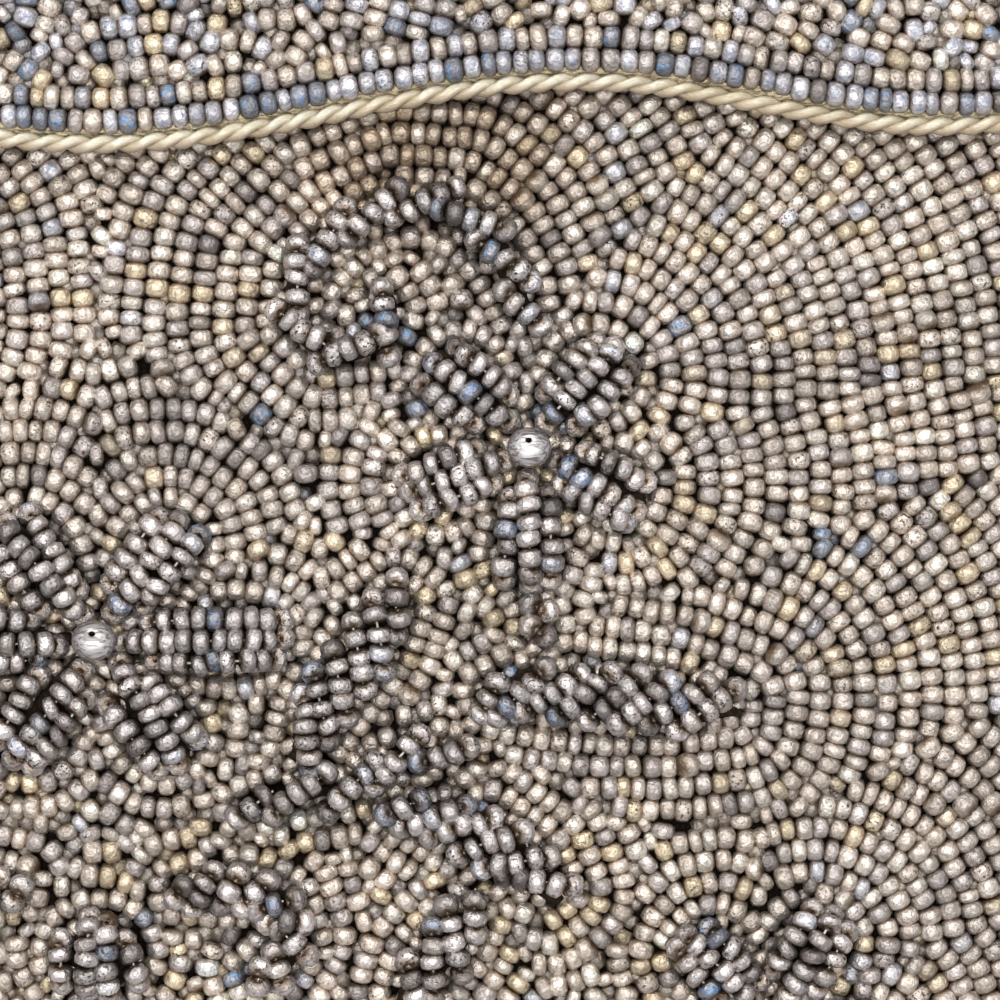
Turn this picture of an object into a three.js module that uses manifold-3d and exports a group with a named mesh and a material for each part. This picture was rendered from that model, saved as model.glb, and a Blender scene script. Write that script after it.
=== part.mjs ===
import * as THREE from 'three';
import { mergeVertices } from 'three/addons/utils/BufferGeometryUtils.js';
import Module from 'manifold-3d';

// A flat beaded evening purse with a fold-over flap, lying on its back. Millimetres.
// X runs across the purse, Y up it to the fold, and Z out of its front.

// Overall sizes
const PURSE_WIDTH = 215;
const PURSE_HEIGHT = 150;
const CORNER_RADIUS = 18;
const POCKET_DEPTH = 7.5;

// Beaded cloth: backing cloth with one layer of seed beads on it
const CLOTH_THICKNESS = 0.9;
const BEAD_DIAMETER = 1.9;
const WALL = CLOTH_THICKNESS + BEAD_DIAMETER;

// Clearances between pieces
const SEAM_GAP = 0.3;
const FLAP_GAP = 0.4;
const STEM_GAP = 0.5;

// Pocket shape: how fast the front rises from its seams
const SIDE_POWER = 3.2;
const BOTTOM_POWER = 2.4;
const BOTTOM_RISE_LENGTH = 70;

// Flap and fold
const FOLD_REACH = 8.7;
const MOUTH_SETBACK = 4.3;
const CREST_ACROSS = 43.7;
const CREST_DROP = 48.3;
const CENTRE_LOBE_DEPTH = 5.6;
const SIDE_LOBE_DEPTH = 3.8;

// Trim along the wavy edge of the flap
const CORD_DIAMETER = 2.2;
const TAPE_WIDTH = 1.0;
const TAPE_THICKNESS = 1.2;

// Press stud under the flap, sunk where the beads are left out
const STUD_DIAMETER = 10.4;
const STUD_THICKNESS = 1.1;
const STUD_SINK = 1.3;
const STUD_SETBACK = 9;

// Raised flowers, leaves and scrolls
const RELIEF_HEIGHT = 2.2;
const FLOWER_RADIUS = 12;
const CENTRE_BEAD = { across: 4.0, up: 3.7, out: 3.2 };
const PETAL_ROOT = CENTRE_BEAD.across / 2 + 1.2;
const PETAL_BREADTH = 7.2;
const LEAF_BREADTH = 7;
const SCROLL_BREADTH = 3.8;
const STEM_BREADTH = 2.7;
const BUD_BREADTH = 9;

// How finely curved faces are cut
const FRONT_COLUMNS = 20;
const FRONT_ROWS = 12;
const CORNER_STEPS = 4;
const FLAP_COLUMNS = 28;
const FLAP_ROWS = 6;
const FOLD_STEPS = 8;
const HEM_STEPS = 56;
const CORD_SIDES = 8;
const ARCH_STEPS = 6;
const BEAD_SIDES = 10;
const BEAD_RINGS = 6;

const HALF_WIDTH = PURSE_WIDTH / 2;
const BOTTOM_Y = -PURSE_HEIGHT / 2;
const TOP_Y = PURSE_HEIGHT / 2;
const FOLD_Y = TOP_Y - FOLD_REACH;
const BACK_TOP_Y = FOLD_Y - SEAM_GAP;
const MOUTH_Y = FOLD_Y - MOUTH_SETBACK;

const COLOURS = {
  ground: new THREE.Color('#a89a8c'),
  relief: new THREE.Color('#6f6b70'),
  silver: new THREE.Color('#b9b4ab'),
  cord: new THREE.Color('#c9bb9c'),
  tape: new THREE.Color('#a58d5f'),
  stud: new THREE.Color('#8f8a84'),
};

// Each section of a petal: how far along it, and how broad
const PETAL_SECTIONS = [
  { along: 0, breadth: 0.36 },
  { along: 0.3, breadth: 0.72 },
  { along: 0.62, breadth: 1 },
  { along: 0.88, breadth: 0.8 },
  { along: 1, breadth: 0.36 },
];

// Where each flower lies: shares of half the width and of the height from the bottom.
// Its petals: the way they point in degrees, and their reach as a share of the radius.
const SIDE_FLOWERS = [
  {
    name: 'flower', across: 0.362, up: 0.460,
    petals: [
      { name: 'petal_inner_upper', turn: 136, reach: 1 },
      { name: 'petal_outer_upper', turn: 48, reach: 1 },
      { name: 'petal_outer_lower', turn: 332, reach: 0.97 },
      { name: 'petal_lower', turn: 270, reach: 1.07 },
      { name: 'petal_inner_lower', turn: 203, reach: 0.99 },
    ],
  },
  {
    name: 'low_flower', across: 0.567, up: 0.111,
    petals: [
      { name: 'petal_inner_upper', turn: 130, reach: 0.97 },
      { name: 'petal_outer_upper', turn: 62, reach: 0.97 },
      { name: 'petal_outer', turn: 350, reach: 0.95 },
      { name: 'petal_lower', turn: 278, reach: 0.93 },
      { name: 'petal_inner', turn: 206, reach: 0.95 },
    ],
  },
];
const MIDDLE_FLOWER = {
  name: 'middle_flower', across: 0, up: 0.345,
  petals: [
    { name: 'petal_right', turn: 0, reach: 1.46 },
    { name: 'petal_upper_right', turn: 53, reach: 1.14 },
    { name: 'petal_upper_left', turn: 127, reach: 1.14 },
    { name: 'petal_left', turn: 180, reach: 1.46 },
    { name: 'petal_lower_left', turn: 235, reach: 1.14 },
    { name: 'petal_lower_right', turn: 305, reach: 1.14 },
  ],
};

// Sections along each raised spray: shares of half the width and of the height from the
// bottom, and the breadth as a share of the spray's own breadth.
const SPRAYS = [
  {
    name: 'scroll', breadth: SCROLL_BREADTH,
    sections: [
      { across: 0.362, up: 0.529, breadth: 0.5 },
      { across: 0.352, up: 0.556, breadth: 0.9 },
      { across: 0.331, up: 0.582, breadth: 1 },
      { across: 0.299, up: 0.601, breadth: 1 },
      { across: 0.254, up: 0.605, breadth: 0.9 },
      { across: 0.207, up: 0.590, breadth: 1 },
      { across: 0.173, up: 0.565, breadth: 1 },
      { across: 0.168, up: 0.538, breadth: 1 },
      { across: 0.195, up: 0.520, breadth: 1 },
      { across: 0.231, up: 0.523, breadth: 0.9 },
      { across: 0.246, up: 0.543, breadth: 0.8 },
      { across: 0.231, up: 0.561, breadth: 0.5 },
    ],
  },
  {
    name: 'outer_leaf', breadth: LEAF_BREADTH,
    sections: [
      { across: 0.318, up: 0.309, breadth: 0.4 },
      { across: 0.352, up: 0.313, breadth: 0.85 },
      { across: 0.421, up: 0.311, breadth: 1 },
      { across: 0.480, up: 0.307, breadth: 0.85 },
      { across: 0.540, up: 0.301, breadth: 0.35 },
    ],
  },
  {
    name: 'inner_leaf', breadth: LEAF_BREADTH,
    sections: [
      { across: 0.260, up: 0.372, breadth: 0.35 },
      { across: 0.235, up: 0.347, breadth: 0.75 },
      { across: 0.205, up: 0.320, breadth: 0.8 },
      { across: 0.183, up: 0.296, breadth: 0.7 },
      { across: 0.164, up: 0.273, breadth: 0.35 },
    ],
  },
  {
    name: 'tendril', breadth: STEM_BREADTH,
    sections: [
      { across: 0.312, up: 0.275, breadth: 0.7 },
      { across: 0.279, up: 0.278, breadth: 1 },
      { across: 0.243, up: 0.269, breadth: 1 },
      { across: 0.211, up: 0.256, breadth: 1 },
      { across: 0.170, up: 0.252, breadth: 1 },
      { across: 0.115, up: 0.242, breadth: 0.7 },
    ],
  },
  {
    name: 'lower_leaf', breadth: LEAF_BREADTH,
    sections: [
      { across: 0.245, up: 0.247, breadth: 0.3 },
      { across: 0.277, up: 0.240, breadth: 0.7 },
      { across: 0.321, up: 0.227, breadth: 0.95 },
      { across: 0.360, up: 0.207, breadth: 0.85 },
      { across: 0.387, up: 0.186, breadth: 0.4 },
    ],
  },
  {
    name: 'small_leaf', breadth: LEAF_BREADTH,
    sections: [
      { across: 0.325, up: 0.185, breadth: 0.35 },
      { across: 0.300, up: 0.166, breadth: 0.7 },
      { across: 0.276, up: 0.145, breadth: 0.75 },
      { across: 0.254, up: 0.124, breadth: 0.35 },
    ],
  },
  {
    name: 'hook', breadth: SCROLL_BREADTH,
    sections: [
      { across: 0.061, up: 0.193, breadth: 0.6 },
      { across: 0.095, up: 0.194, breadth: 0.9 },
      { across: 0.126, up: 0.195, breadth: 1 },
      { across: 0.154, up: 0.185, breadth: 1 },
      { across: 0.164, up: 0.165, breadth: 0.9 },
      { across: 0.150, up: 0.146, breadth: 0.9 },
      { across: 0.124, up: 0.138, breadth: 0.6 },
    ],
  },
];
// Sections down the stem: how far down, and the sway and breadth as shares of its breadth
const STEM_SECTIONS = [
  { along: 0, sway: 0.2, breadth: 0.8 },
  { along: 0.55, sway: 0.4, breadth: 1 },
  { along: 1, sway: 0.25, breadth: 0.8 },
];
const BUD = {
  name: 'middle_bud', breadth: BUD_BREADTH,
  sections: [
    { across: 0, up: 0.180, breadth: 0.35 },
    { across: 0, up: 0.168, breadth: 0.85 },
    { across: 0, up: 0.154, breadth: 1 },
    { across: 0, up: 0.142, breadth: 0.85 },
    { across: 0, up: 0.130, breadth: 0.35 },
  ],
};

// Shape of the pocket

// Half the width at a height, narrowed by the round bottom corners.
function halfWidth(y) {
  const below = CORNER_RADIUS - (y - BOTTOM_Y);
  if (below <= 0) {
    return HALF_WIDTH;
  }
  return HALF_WIDTH - CORNER_RADIUS + Math.sqrt(Math.max(CORNER_RADIUS ** 2 - below ** 2, 0));
}

// How far the front stands off the back, seams excluded.
function lift(x, y) {
  const side = Math.min(Math.abs(x) / halfWidth(y), 1);
  const climb = THREE.MathUtils.clamp((y - BOTTOM_Y) / BOTTOM_RISE_LENGTH, 0, 1);
  return POCKET_DEPTH * (1 - side ** SIDE_POWER) * (1 - (1 - climb) ** BOTTOM_POWER);
}

// Outer face of the front, which the flap and every raised piece lie on.
function frontZ(x, y) {
  return WALL + SEAM_GAP + lift(x, y) + WALL;
}

// Middle of the cord along the wavy edge of the flap.
function hemY(x) {
  const across = Math.abs(x);
  const crest = TOP_Y - CREST_DROP;
  if (across < CREST_ACROSS) {
    return crest - CENTRE_LOBE_DEPTH * (0.5 + 0.5 * Math.cos((Math.PI * across) / CREST_ACROSS));
  }
  const along = (across - CREST_ACROSS) / (HALF_WIDTH - CREST_ACROSS);
  return crest - SIDE_LOBE_DEPTH * (0.5 - 0.5 * Math.cos(2 * Math.PI * along));
}

// Bodies

function bodyFrom(positions, triangles) {
  const geometry = new THREE.BufferGeometry();
  geometry.setAttribute('position', new THREE.Float32BufferAttribute(positions.flat(), 3));
  geometry.setIndex(triangles);
  return geometry;
}

// Closed body between two faces, each a grid of points: rows of points of one length.
function slab(outer, inner) {
  const rows = outer.length;
  const columns = outer[0].length;
  const size = rows * columns;
  const triangles = [];
  const quad = (a, b, c, d) => triangles.push(a, b, c, a, c, d);
  for (let row = 0; row < rows - 1; row += 1) {
    for (let column = 0; column < columns - 1; column += 1) {
      const a = row * columns + column;
      const b = a + 1;
      quad(a, b, b + columns, a + columns);
      quad(size + a, size + a + columns, size + b + columns, size + b);
    }
    const left = row * columns;
    const right = left + columns - 1;
    quad(left, left + columns, size + left + columns, size + left);
    quad(right, size + right, size + right + columns, right + columns);
  }
  for (let column = 0; column < columns - 1; column += 1) {
    const last = (rows - 1) * columns + column;
    quad(column, size + column, size + column + 1, column + 1);
    quad(last, last + 1, size + last + 1, size + last);
  }
  return bodyFrom([...outer.flat(), ...inner.flat()], triangles);
}

// Closed body through rings of points, with a flat cap at each end.
function loft(rings) {
  const sides = rings[0].length;
  const triangles = [];
  for (let ring = 0; ring < rings.length - 1; ring += 1) {
    for (let side = 0; side < sides; side += 1) {
      const a = ring * sides + side;
      const b = ring * sides + ((side + 1) % sides);
      triangles.push(a, b, b + sides, a, b + sides, a + sides);
    }
  }
  const last = (rings.length - 1) * sides;
  for (let side = 1; side < sides - 1; side += 1) {
    triangles.push(0, side + 1, side);
    triangles.push(last, last + side, last + side + 1);
  }
  return bodyFrom(rings.flat(), triangles);
}

function steps(count) {
  return Array.from({ length: count + 1 }, (_, step) => step / count);
}

function solidOf(wasm, geometry) {
  const bare = geometry.clone();
  bare.deleteAttribute('normal');
  bare.deleteAttribute('uv');
  const merged = mergeVertices(bare);
  return new wasm.Manifold(new wasm.Mesh({
    numProp: 3,
    vertProperties: new Float32Array(merged.attributes.position.array),
    triVerts: new Uint32Array(merged.index.array),
  }));
}

function geometryOf(solid) {
  const mesh = solid.getMesh();
  const geometry = new THREE.BufferGeometry();
  geometry.setAttribute('position', new THREE.Float32BufferAttribute(mesh.vertProperties, 3));
  geometry.setIndex(Array.from(mesh.triVerts));
  return geometry;
}

// Pieces

// Flat panel that the purse lies on, with round bottom corners.
function backPanel() {
  const outline = new THREE.Shape();
  outline.moveTo(-HALF_WIDTH, BACK_TOP_Y);
  outline.lineTo(-HALF_WIDTH, BOTTOM_Y + CORNER_RADIUS);
  outline.absarc(-HALF_WIDTH + CORNER_RADIUS, BOTTOM_Y + CORNER_RADIUS, CORNER_RADIUS,
    Math.PI, 1.5 * Math.PI);
  outline.absarc(HALF_WIDTH - CORNER_RADIUS, BOTTOM_Y + CORNER_RADIUS, CORNER_RADIUS,
    1.5 * Math.PI, 2 * Math.PI);
  outline.lineTo(HALF_WIDTH, BACK_TOP_Y);
  return new THREE.ExtrudeGeometry(outline, {
    depth: WALL, bevelEnabled: false, curveSegments: 2 * CORNER_STEPS,
  });
}

// Domed panel seamed to the back at its sides and bottom, open along its top edge.
function frontPanel(wasm) {
  const corner = steps(CORNER_STEPS).map((share) => (
    BOTTOM_Y + CORNER_RADIUS * (1 - Math.cos((share * Math.PI) / 2))));
  const straight = steps(FRONT_ROWS).slice(1).map((share) => (
    THREE.MathUtils.lerp(BOTTOM_Y + CORNER_RADIUS, MOUTH_Y, share)));
  const outer = [...corner, ...straight].map((y) => steps(FRONT_COLUMNS).map((share) => {
    const x = halfWidth(y) * (2 * share - 1);
    return [x, y, frontZ(x, y)];
  }));
  const inner = outer.map((row) => row.map(([x, y, z]) => [x, y, z - WALL]));
  const stud = studSeat();
  const recess = new THREE.CylinderGeometry(stud.recessRadius, stud.recessRadius,
    2 * STUD_SINK, 4 * BEAD_SIDES);
  recess.rotateX(Math.PI / 2);
  recess.translate(0, stud.y, stud.floorZ + STUD_SINK);
  return geometryOf(solidOf(wasm, slab(outer, inner)).subtract(solidOf(wasm, recess)));
}

// Place of the press stud: behind the lowest point of the flap's middle lobe.
function studSeat() {
  const y = hemY(0) + STUD_SETBACK;
  return {
    y,
    floorZ: frontZ(0, y) - STUD_SINK,
    recessRadius: STUD_DIAMETER / 2 + SEAM_GAP,
  };
}

function pressStud() {
  const stud = studSeat();
  const disc = new THREE.CylinderGeometry(STUD_DIAMETER / 2, STUD_DIAMETER / 2,
    STUD_THICKNESS, 4 * BEAD_SIDES);
  disc.rotateX(Math.PI / 2);
  disc.translate(0, stud.y, stud.floorZ + SEAM_GAP + STUD_THICKNESS / 2);
  return disc;
}

// Cloth that leaves the top of the back, turns over the fold and lies on the front.
function flap() {
  const edgeInset = CORD_DIAMETER / 2 + SEAM_GAP + TAPE_WIDTH + SEAM_GAP;
  const face = (inset) => {
    const columnAt = (x) => {
      const top = frontZ(x, FOLD_Y) + FLAP_GAP + WALL;
      const turn = steps(FOLD_STEPS).map((share) => {
        const angle = Math.PI * (share - 0.5);
        return [
          x,
          FOLD_Y + (FOLD_REACH - inset) * Math.cos(angle),
          top / 2 + (top / 2 - inset) * Math.sin(angle),
        ];
      });
      const fall = steps(FLAP_ROWS).slice(1).map((share) => {
        const y = THREE.MathUtils.lerp(FOLD_Y, hemY(x) + edgeInset, share);
        return [x, y, frontZ(x, y) + FLAP_GAP + WALL - inset];
      });
      return [...turn, ...fall];
    };
    return steps(FLAP_COLUMNS).map((share) => columnAt(HALF_WIDTH * (2 * share - 1)));
  };
  return slab(face(0), face(WALL));
}

function flapCord() {
  const radius = CORD_DIAMETER / 2;
  const points = steps(HEM_STEPS / 2).map((share) => {
    const x = (HALF_WIDTH - SEAM_GAP) * (2 * share - 1);
    return new THREE.Vector3(x, hemY(x), frontZ(x, hemY(x)) + SEAM_GAP + radius);
  });
  const section = new THREE.Shape();
  section.absarc(0, 0, radius, 0, 2 * Math.PI);
  return new THREE.ExtrudeGeometry(section, {
    extrudePath: new THREE.CatmullRomCurve3(points),
    steps: HEM_STEPS,
    curveSegments: CORD_SIDES,
    bevelEnabled: false,
  });
}

// Narrow tape that binds the edge of the flap, between its last beads and the cord.
function flapTape() {
  const near = CORD_DIAMETER / 2 + SEAM_GAP;
  const face = (height) => steps(HEM_STEPS).map((share) => {
    const x = HALF_WIDTH * (2 * share - 1);
    return [near, near + TAPE_WIDTH].map((offset) => {
      const y = hemY(x) + offset;
      return [x, y, frontZ(x, y) + FLAP_GAP + height];
    });
  });
  return slab(face(TAPE_THICKNESS).map((row) => [row[1], row[0]]),
    face(0).map((row) => [row[1], row[0]]));
}

// Raised pad along a line of points on the front: an arch over a base that follows it.
function reliefPad(points) {
  const rings = points.map((point, index) => {
    const before = points[Math.max(index - 1, 0)];
    const after = points[Math.min(index + 1, points.length - 1)];
    const way = Math.atan2(after.y - before.y, after.x - before.x);
    return steps(ARCH_STEPS).map((share) => {
      const angle = Math.PI * share;
      const offset = (point.breadth / 2) * Math.cos(angle);
      const x = point.x - offset * Math.sin(way);
      const y = point.y + offset * Math.cos(way);
      const rise = RELIEF_HEIGHT * Math.min(point.breadth / STEM_BREADTH, 1) * Math.sin(angle);
      return [x, y, frontZ(x, y) + SEAM_GAP + rise];
    });
  });
  return loft(rings);
}

function petal(flower, { turn, reach }) {
  const angle = THREE.MathUtils.degToRad(turn);
  return reliefPad(PETAL_SECTIONS.map((section) => {
    const out = THREE.MathUtils.lerp(PETAL_ROOT, FLOWER_RADIUS * reach, section.along);
    return {
      x: flower.across * HALF_WIDTH + out * Math.cos(angle),
      y: BOTTOM_Y + flower.up * PURSE_HEIGHT + out * Math.sin(angle),
      breadth: section.breadth * PETAL_BREADTH,
    };
  }));
}

function spray({ sections, breadth }) {
  return reliefPad(sections.map((section) => ({
    x: section.across * HALF_WIDTH,
    y: BOTTOM_Y + section.up * PURSE_HEIGHT,
    breadth: section.breadth * breadth,
  })));
}

function flowerBead(flower) {
  const bead = new THREE.SphereGeometry(0.5, BEAD_SIDES, BEAD_RINGS);
  const x = flower.across * HALF_WIDTH;
  const y = BOTTOM_Y + flower.up * PURSE_HEIGHT;
  bead.scale(CENTRE_BEAD.across, CENTRE_BEAD.up, CENTRE_BEAD.out);
  bead.translate(x, y, frontZ(x, y) + SEAM_GAP + CENTRE_BEAD.out / 2);
  return bead;
}

// Short stem from the tip of the flower's lower petal to the edge of the outer leaf.
function stem() {
  const [flower] = SIDE_FLOWERS;
  const lowerPetal = flower.petals.find(({ name }) => name === 'petal_lower');
  const outerLeaf = SPRAYS.find(({ name }) => name === 'outer_leaf');
  const x = flower.across * HALF_WIDTH;
  const tip = BOTTOM_Y + flower.up * PURSE_HEIGHT - FLOWER_RADIUS * lowerPetal.reach;
  const edges = outerLeaf.sections.map((section) => (
    BOTTOM_Y + section.up * PURSE_HEIGHT + (section.breadth * outerLeaf.breadth) / 2));
  return reliefPad(STEM_SECTIONS.map((section) => ({
    x: x + section.sway * STEM_BREADTH,
    y: THREE.MathUtils.lerp(tip - STEM_GAP, Math.max(...edges) + STEM_GAP, section.along),
    breadth: section.breadth * STEM_BREADTH,
  })));
}

// The same piece on the other side of the middle line, with its faces turned out again.
function mirrored(geometry) {
  const twin = geometry.clone();
  twin.scale(-1, 1, 1);
  const index = twin.index.array;
  for (let corner = 0; corner < index.length; corner += 3) {
    [index[corner], index[corner + 1]] = [index[corner + 1], index[corner]];
  }
  return twin;
}

// Assembly

const purse = new THREE.Group();

function add(name, geometry, color, roughness, metalness) {
  const material = new THREE.MeshStandardMaterial({ color, roughness, metalness });
  const mesh = new THREE.Mesh(geometry, material);
  mesh.name = name;
  purse.add(mesh);
}

function addRelief(name, geometry) {
  add(name, geometry, COLOURS.relief, 0.35, 0.7);
}

function addPair(name, geometry, addOne) {
  addOne(`${name}_right`, geometry);
  addOne(`${name}_left`, mirrored(geometry));
}

function addFlowerBead(name, geometry) {
  add(name, geometry, COLOURS.silver, 0.3, 0.9);
}

const wasm = await Module();
wasm.setup();

add('back_panel', backPanel(), COLOURS.ground, 0.4, 0.6);
add('front_panel', frontPanel(wasm), COLOURS.ground, 0.4, 0.6);
add('flap', flap(), COLOURS.ground, 0.4, 0.6);
add('flap_tape', flapTape(), COLOURS.tape, 0.6, 0.2);
add('flap_cord', flapCord(), COLOURS.cord, 0.5, 0.2);
add('press_stud', pressStud(), COLOURS.stud, 0.35, 0.9);

for (const flower of SIDE_FLOWERS) {
  addPair(`${flower.name}_bead`, flowerBead(flower), addFlowerBead);
  for (const row of flower.petals) {
    addPair(`${flower.name}_${row.name}`, petal(flower, row), addRelief);
  }
}
addFlowerBead('middle_flower_bead', flowerBead(MIDDLE_FLOWER));
for (const row of MIDDLE_FLOWER.petals) {
  addRelief(`middle_flower_${row.name}`, petal(MIDDLE_FLOWER, row));
}
addPair('stem', stem(), addRelief);
for (const row of SPRAYS) {
  addPair(row.name, spray(row), addRelief);
}
addRelief(BUD.name, spray(BUD));

export default purse;
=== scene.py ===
import logging
import math
from collections import defaultdict
from collections.abc import Callable, Iterator
from dataclasses import dataclass, field
from enum import Enum

import bmesh
import bpy
import numpy as np
from mathutils import Matrix, Vector
from mathutils.bvhtree import BVHTree


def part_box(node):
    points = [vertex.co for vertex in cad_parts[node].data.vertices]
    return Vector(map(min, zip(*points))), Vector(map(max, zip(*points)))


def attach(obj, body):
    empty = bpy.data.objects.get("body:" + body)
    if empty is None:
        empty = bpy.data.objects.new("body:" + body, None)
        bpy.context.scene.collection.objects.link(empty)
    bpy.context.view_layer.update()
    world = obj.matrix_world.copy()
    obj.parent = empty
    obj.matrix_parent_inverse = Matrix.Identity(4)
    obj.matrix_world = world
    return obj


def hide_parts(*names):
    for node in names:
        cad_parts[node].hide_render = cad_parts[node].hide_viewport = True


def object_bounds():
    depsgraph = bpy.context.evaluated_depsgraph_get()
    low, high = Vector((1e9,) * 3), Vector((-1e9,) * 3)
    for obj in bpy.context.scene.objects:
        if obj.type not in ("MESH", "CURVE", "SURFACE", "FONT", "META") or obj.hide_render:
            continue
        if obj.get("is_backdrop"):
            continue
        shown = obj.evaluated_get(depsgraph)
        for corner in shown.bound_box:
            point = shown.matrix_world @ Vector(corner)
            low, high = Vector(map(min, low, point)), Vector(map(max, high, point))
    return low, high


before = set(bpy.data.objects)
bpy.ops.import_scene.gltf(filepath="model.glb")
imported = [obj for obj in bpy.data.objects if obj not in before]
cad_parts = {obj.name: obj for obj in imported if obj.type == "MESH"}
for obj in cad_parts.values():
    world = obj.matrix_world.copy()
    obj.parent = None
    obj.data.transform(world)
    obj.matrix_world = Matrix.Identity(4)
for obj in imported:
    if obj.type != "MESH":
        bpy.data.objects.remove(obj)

# A beaded evening purse with a fold-over flap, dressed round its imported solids. Metres.

Array = np.ndarray
LOG = logging.getLogger("purse")

# Beads and rows
BEAD_WIDTH = 0.00228
BEAD_LENGTH = 0.00152
ROW_PITCH = 0.00201
# The half-hidden beads are darkened by this share as painted shade.
HIDDEN_PAINTED_SHADE = 0.47
CLOTH_THICKNESS = 0.0009
CLOTH_DEPTH = 0.0015

# The view: the photograph's square and what it shows, from straight above
VIEW_SIZE = 0.090
VIEW_MIDDLE = (0.0363, -0.0107)
CAMERA_HEIGHT = 0.42
SENSOR = 36.0
NEAR_MARGIN = 0.003


class Detail(Enum):
    """How finely a bead is cut, by how closely it is seen."""

    STRUNG = "strung"
    NEAR = "near"
    FAR = "far"
    BACK = "back"


class Shade(Enum):
    """The colours that the beads of this purse come in, as linear red, green and blue."""

    CHAMPAGNE = (0.68, 0.60, 0.52)
    PALE = (0.77, 0.71, 0.63)
    GOLD = (0.71, 0.60, 0.43)
    GREY = (0.55, 0.50, 0.47)
    STEEL = (0.61, 0.57, 0.555)
    DARK = (0.29, 0.26, 0.25)
    BRONZE = (0.44, 0.33, 0.22)
    BLUE = (0.33, 0.34, 0.38)
    SILVER_BLUE = (0.64, 0.63, 0.66)


# Finishes


@dataclass(frozen=True)
class Finish:
    """A named surface made of shader nodes."""

    name: str

    def material(self) -> bpy.types.Material:
        """Makes the surface, or finds it if it is made already.

        Returns:
            The material, with its own node tree.
        """
        found = bpy.data.materials.get(self.name)
        if found:
            return found
        made = bpy.data.materials.new(self.name)
        made.use_nodes = True
        self.dress(made.node_tree)
        return made

    def dress(self, tree: bpy.types.NodeTree) -> None:
        """Lays out the nodes of a plain surface. Finishes with a pattern replace this."""

    @staticmethod
    def shader(tree: bpy.types.NodeTree) -> bpy.types.Node:
        """Finds the surface shader of a new material."""
        return tree.nodes["Principled BSDF"]

    @staticmethod
    def speckle(tree: bpy.types.NodeTree, scale: float, low: float, high: float,
                stretch: tuple[float, float, float] = (1, 1, 1)) -> bpy.types.NodeSocket:
        """Adds a noise pattern on the piece's own coordinates.

        Args:
            tree: The material's nodes.
            scale: How many grains there are to a metre.
            low: The noise value that gives 0.
            high: The noise value that gives 1.
            stretch: How the grains are squeezed along each axis.

        Returns:
            The socket that holds the pattern, from 0 to 1.
        """
        place = tree.nodes.new("ShaderNodeTexCoord")
        turn = tree.nodes.new("ShaderNodeMapping")
        noise = tree.nodes.new("ShaderNodeTexNoise")
        ramp = tree.nodes.new("ShaderNodeMapRange")
        turn.inputs["Scale"].default_value = stretch
        noise.inputs["Scale"].default_value = scale
        noise.inputs["Detail"].default_value = 2.0
        ramp.inputs["From Min"].default_value = low
        ramp.inputs["From Max"].default_value = high
        tree.links.new(place.outputs["Object"], turn.inputs["Vector"])
        tree.links.new(turn.outputs["Vector"], noise.inputs["Vector"])
        tree.links.new(noise.outputs["Fac"], ramp.inputs["Value"])
        return ramp.outputs["Result"]

    @staticmethod
    def blend(tree: bpy.types.NodeTree, share: bpy.types.NodeSocket | float,
              first: bpy.types.NodeSocket | tuple, second: bpy.types.NodeSocket | tuple,
              way: str = "MIX") -> bpy.types.NodeSocket:
        """Mixes two colours.

        Args:
            tree: The material's nodes.
            share: A socket that says how much of the second colour there is, or a number.
            first: A socket, or a colour.
            second: A socket, or a colour.
            way: The kind of mix.

        Returns:
            The socket that holds the mixed colour.
        """
        mix = tree.nodes.new("ShaderNodeMix")
        mix.data_type = "RGBA"
        mix.blend_type = way
        if isinstance(share, bpy.types.NodeSocket):
            tree.links.new(share, mix.inputs["Factor"])
        else:
            mix.inputs["Factor"].default_value = share
        for name, value in (("A", first), ("B", second)):
            socket = next(s for s in mix.inputs if s.name == name and s.type == "RGBA")
            if isinstance(value, bpy.types.NodeSocket):
                tree.links.new(value, socket)
            else:
                socket.default_value = (*value[:3], 1.0)
        return next(s for s in mix.outputs if s.type == "RGBA")

    @staticmethod
    def bump(tree: bpy.types.NodeTree, height: bpy.types.NodeSocket, depth: float,
             strength: float) -> None:
        """Raises the surface by a pattern.

        Args:
            tree: The material's nodes.
            height: The pattern.
            depth: How far it stands out, in metres.
            strength: How strongly it shows.
        """
        bump = tree.nodes.new("ShaderNodeBump")
        bump.inputs["Distance"].default_value = depth
        bump.inputs["Strength"].default_value = strength
        tree.links.new(height, bump.inputs["Height"])
        tree.links.new(bump.outputs["Normal"], Finish.shader(tree).inputs["Normal"])


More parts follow.
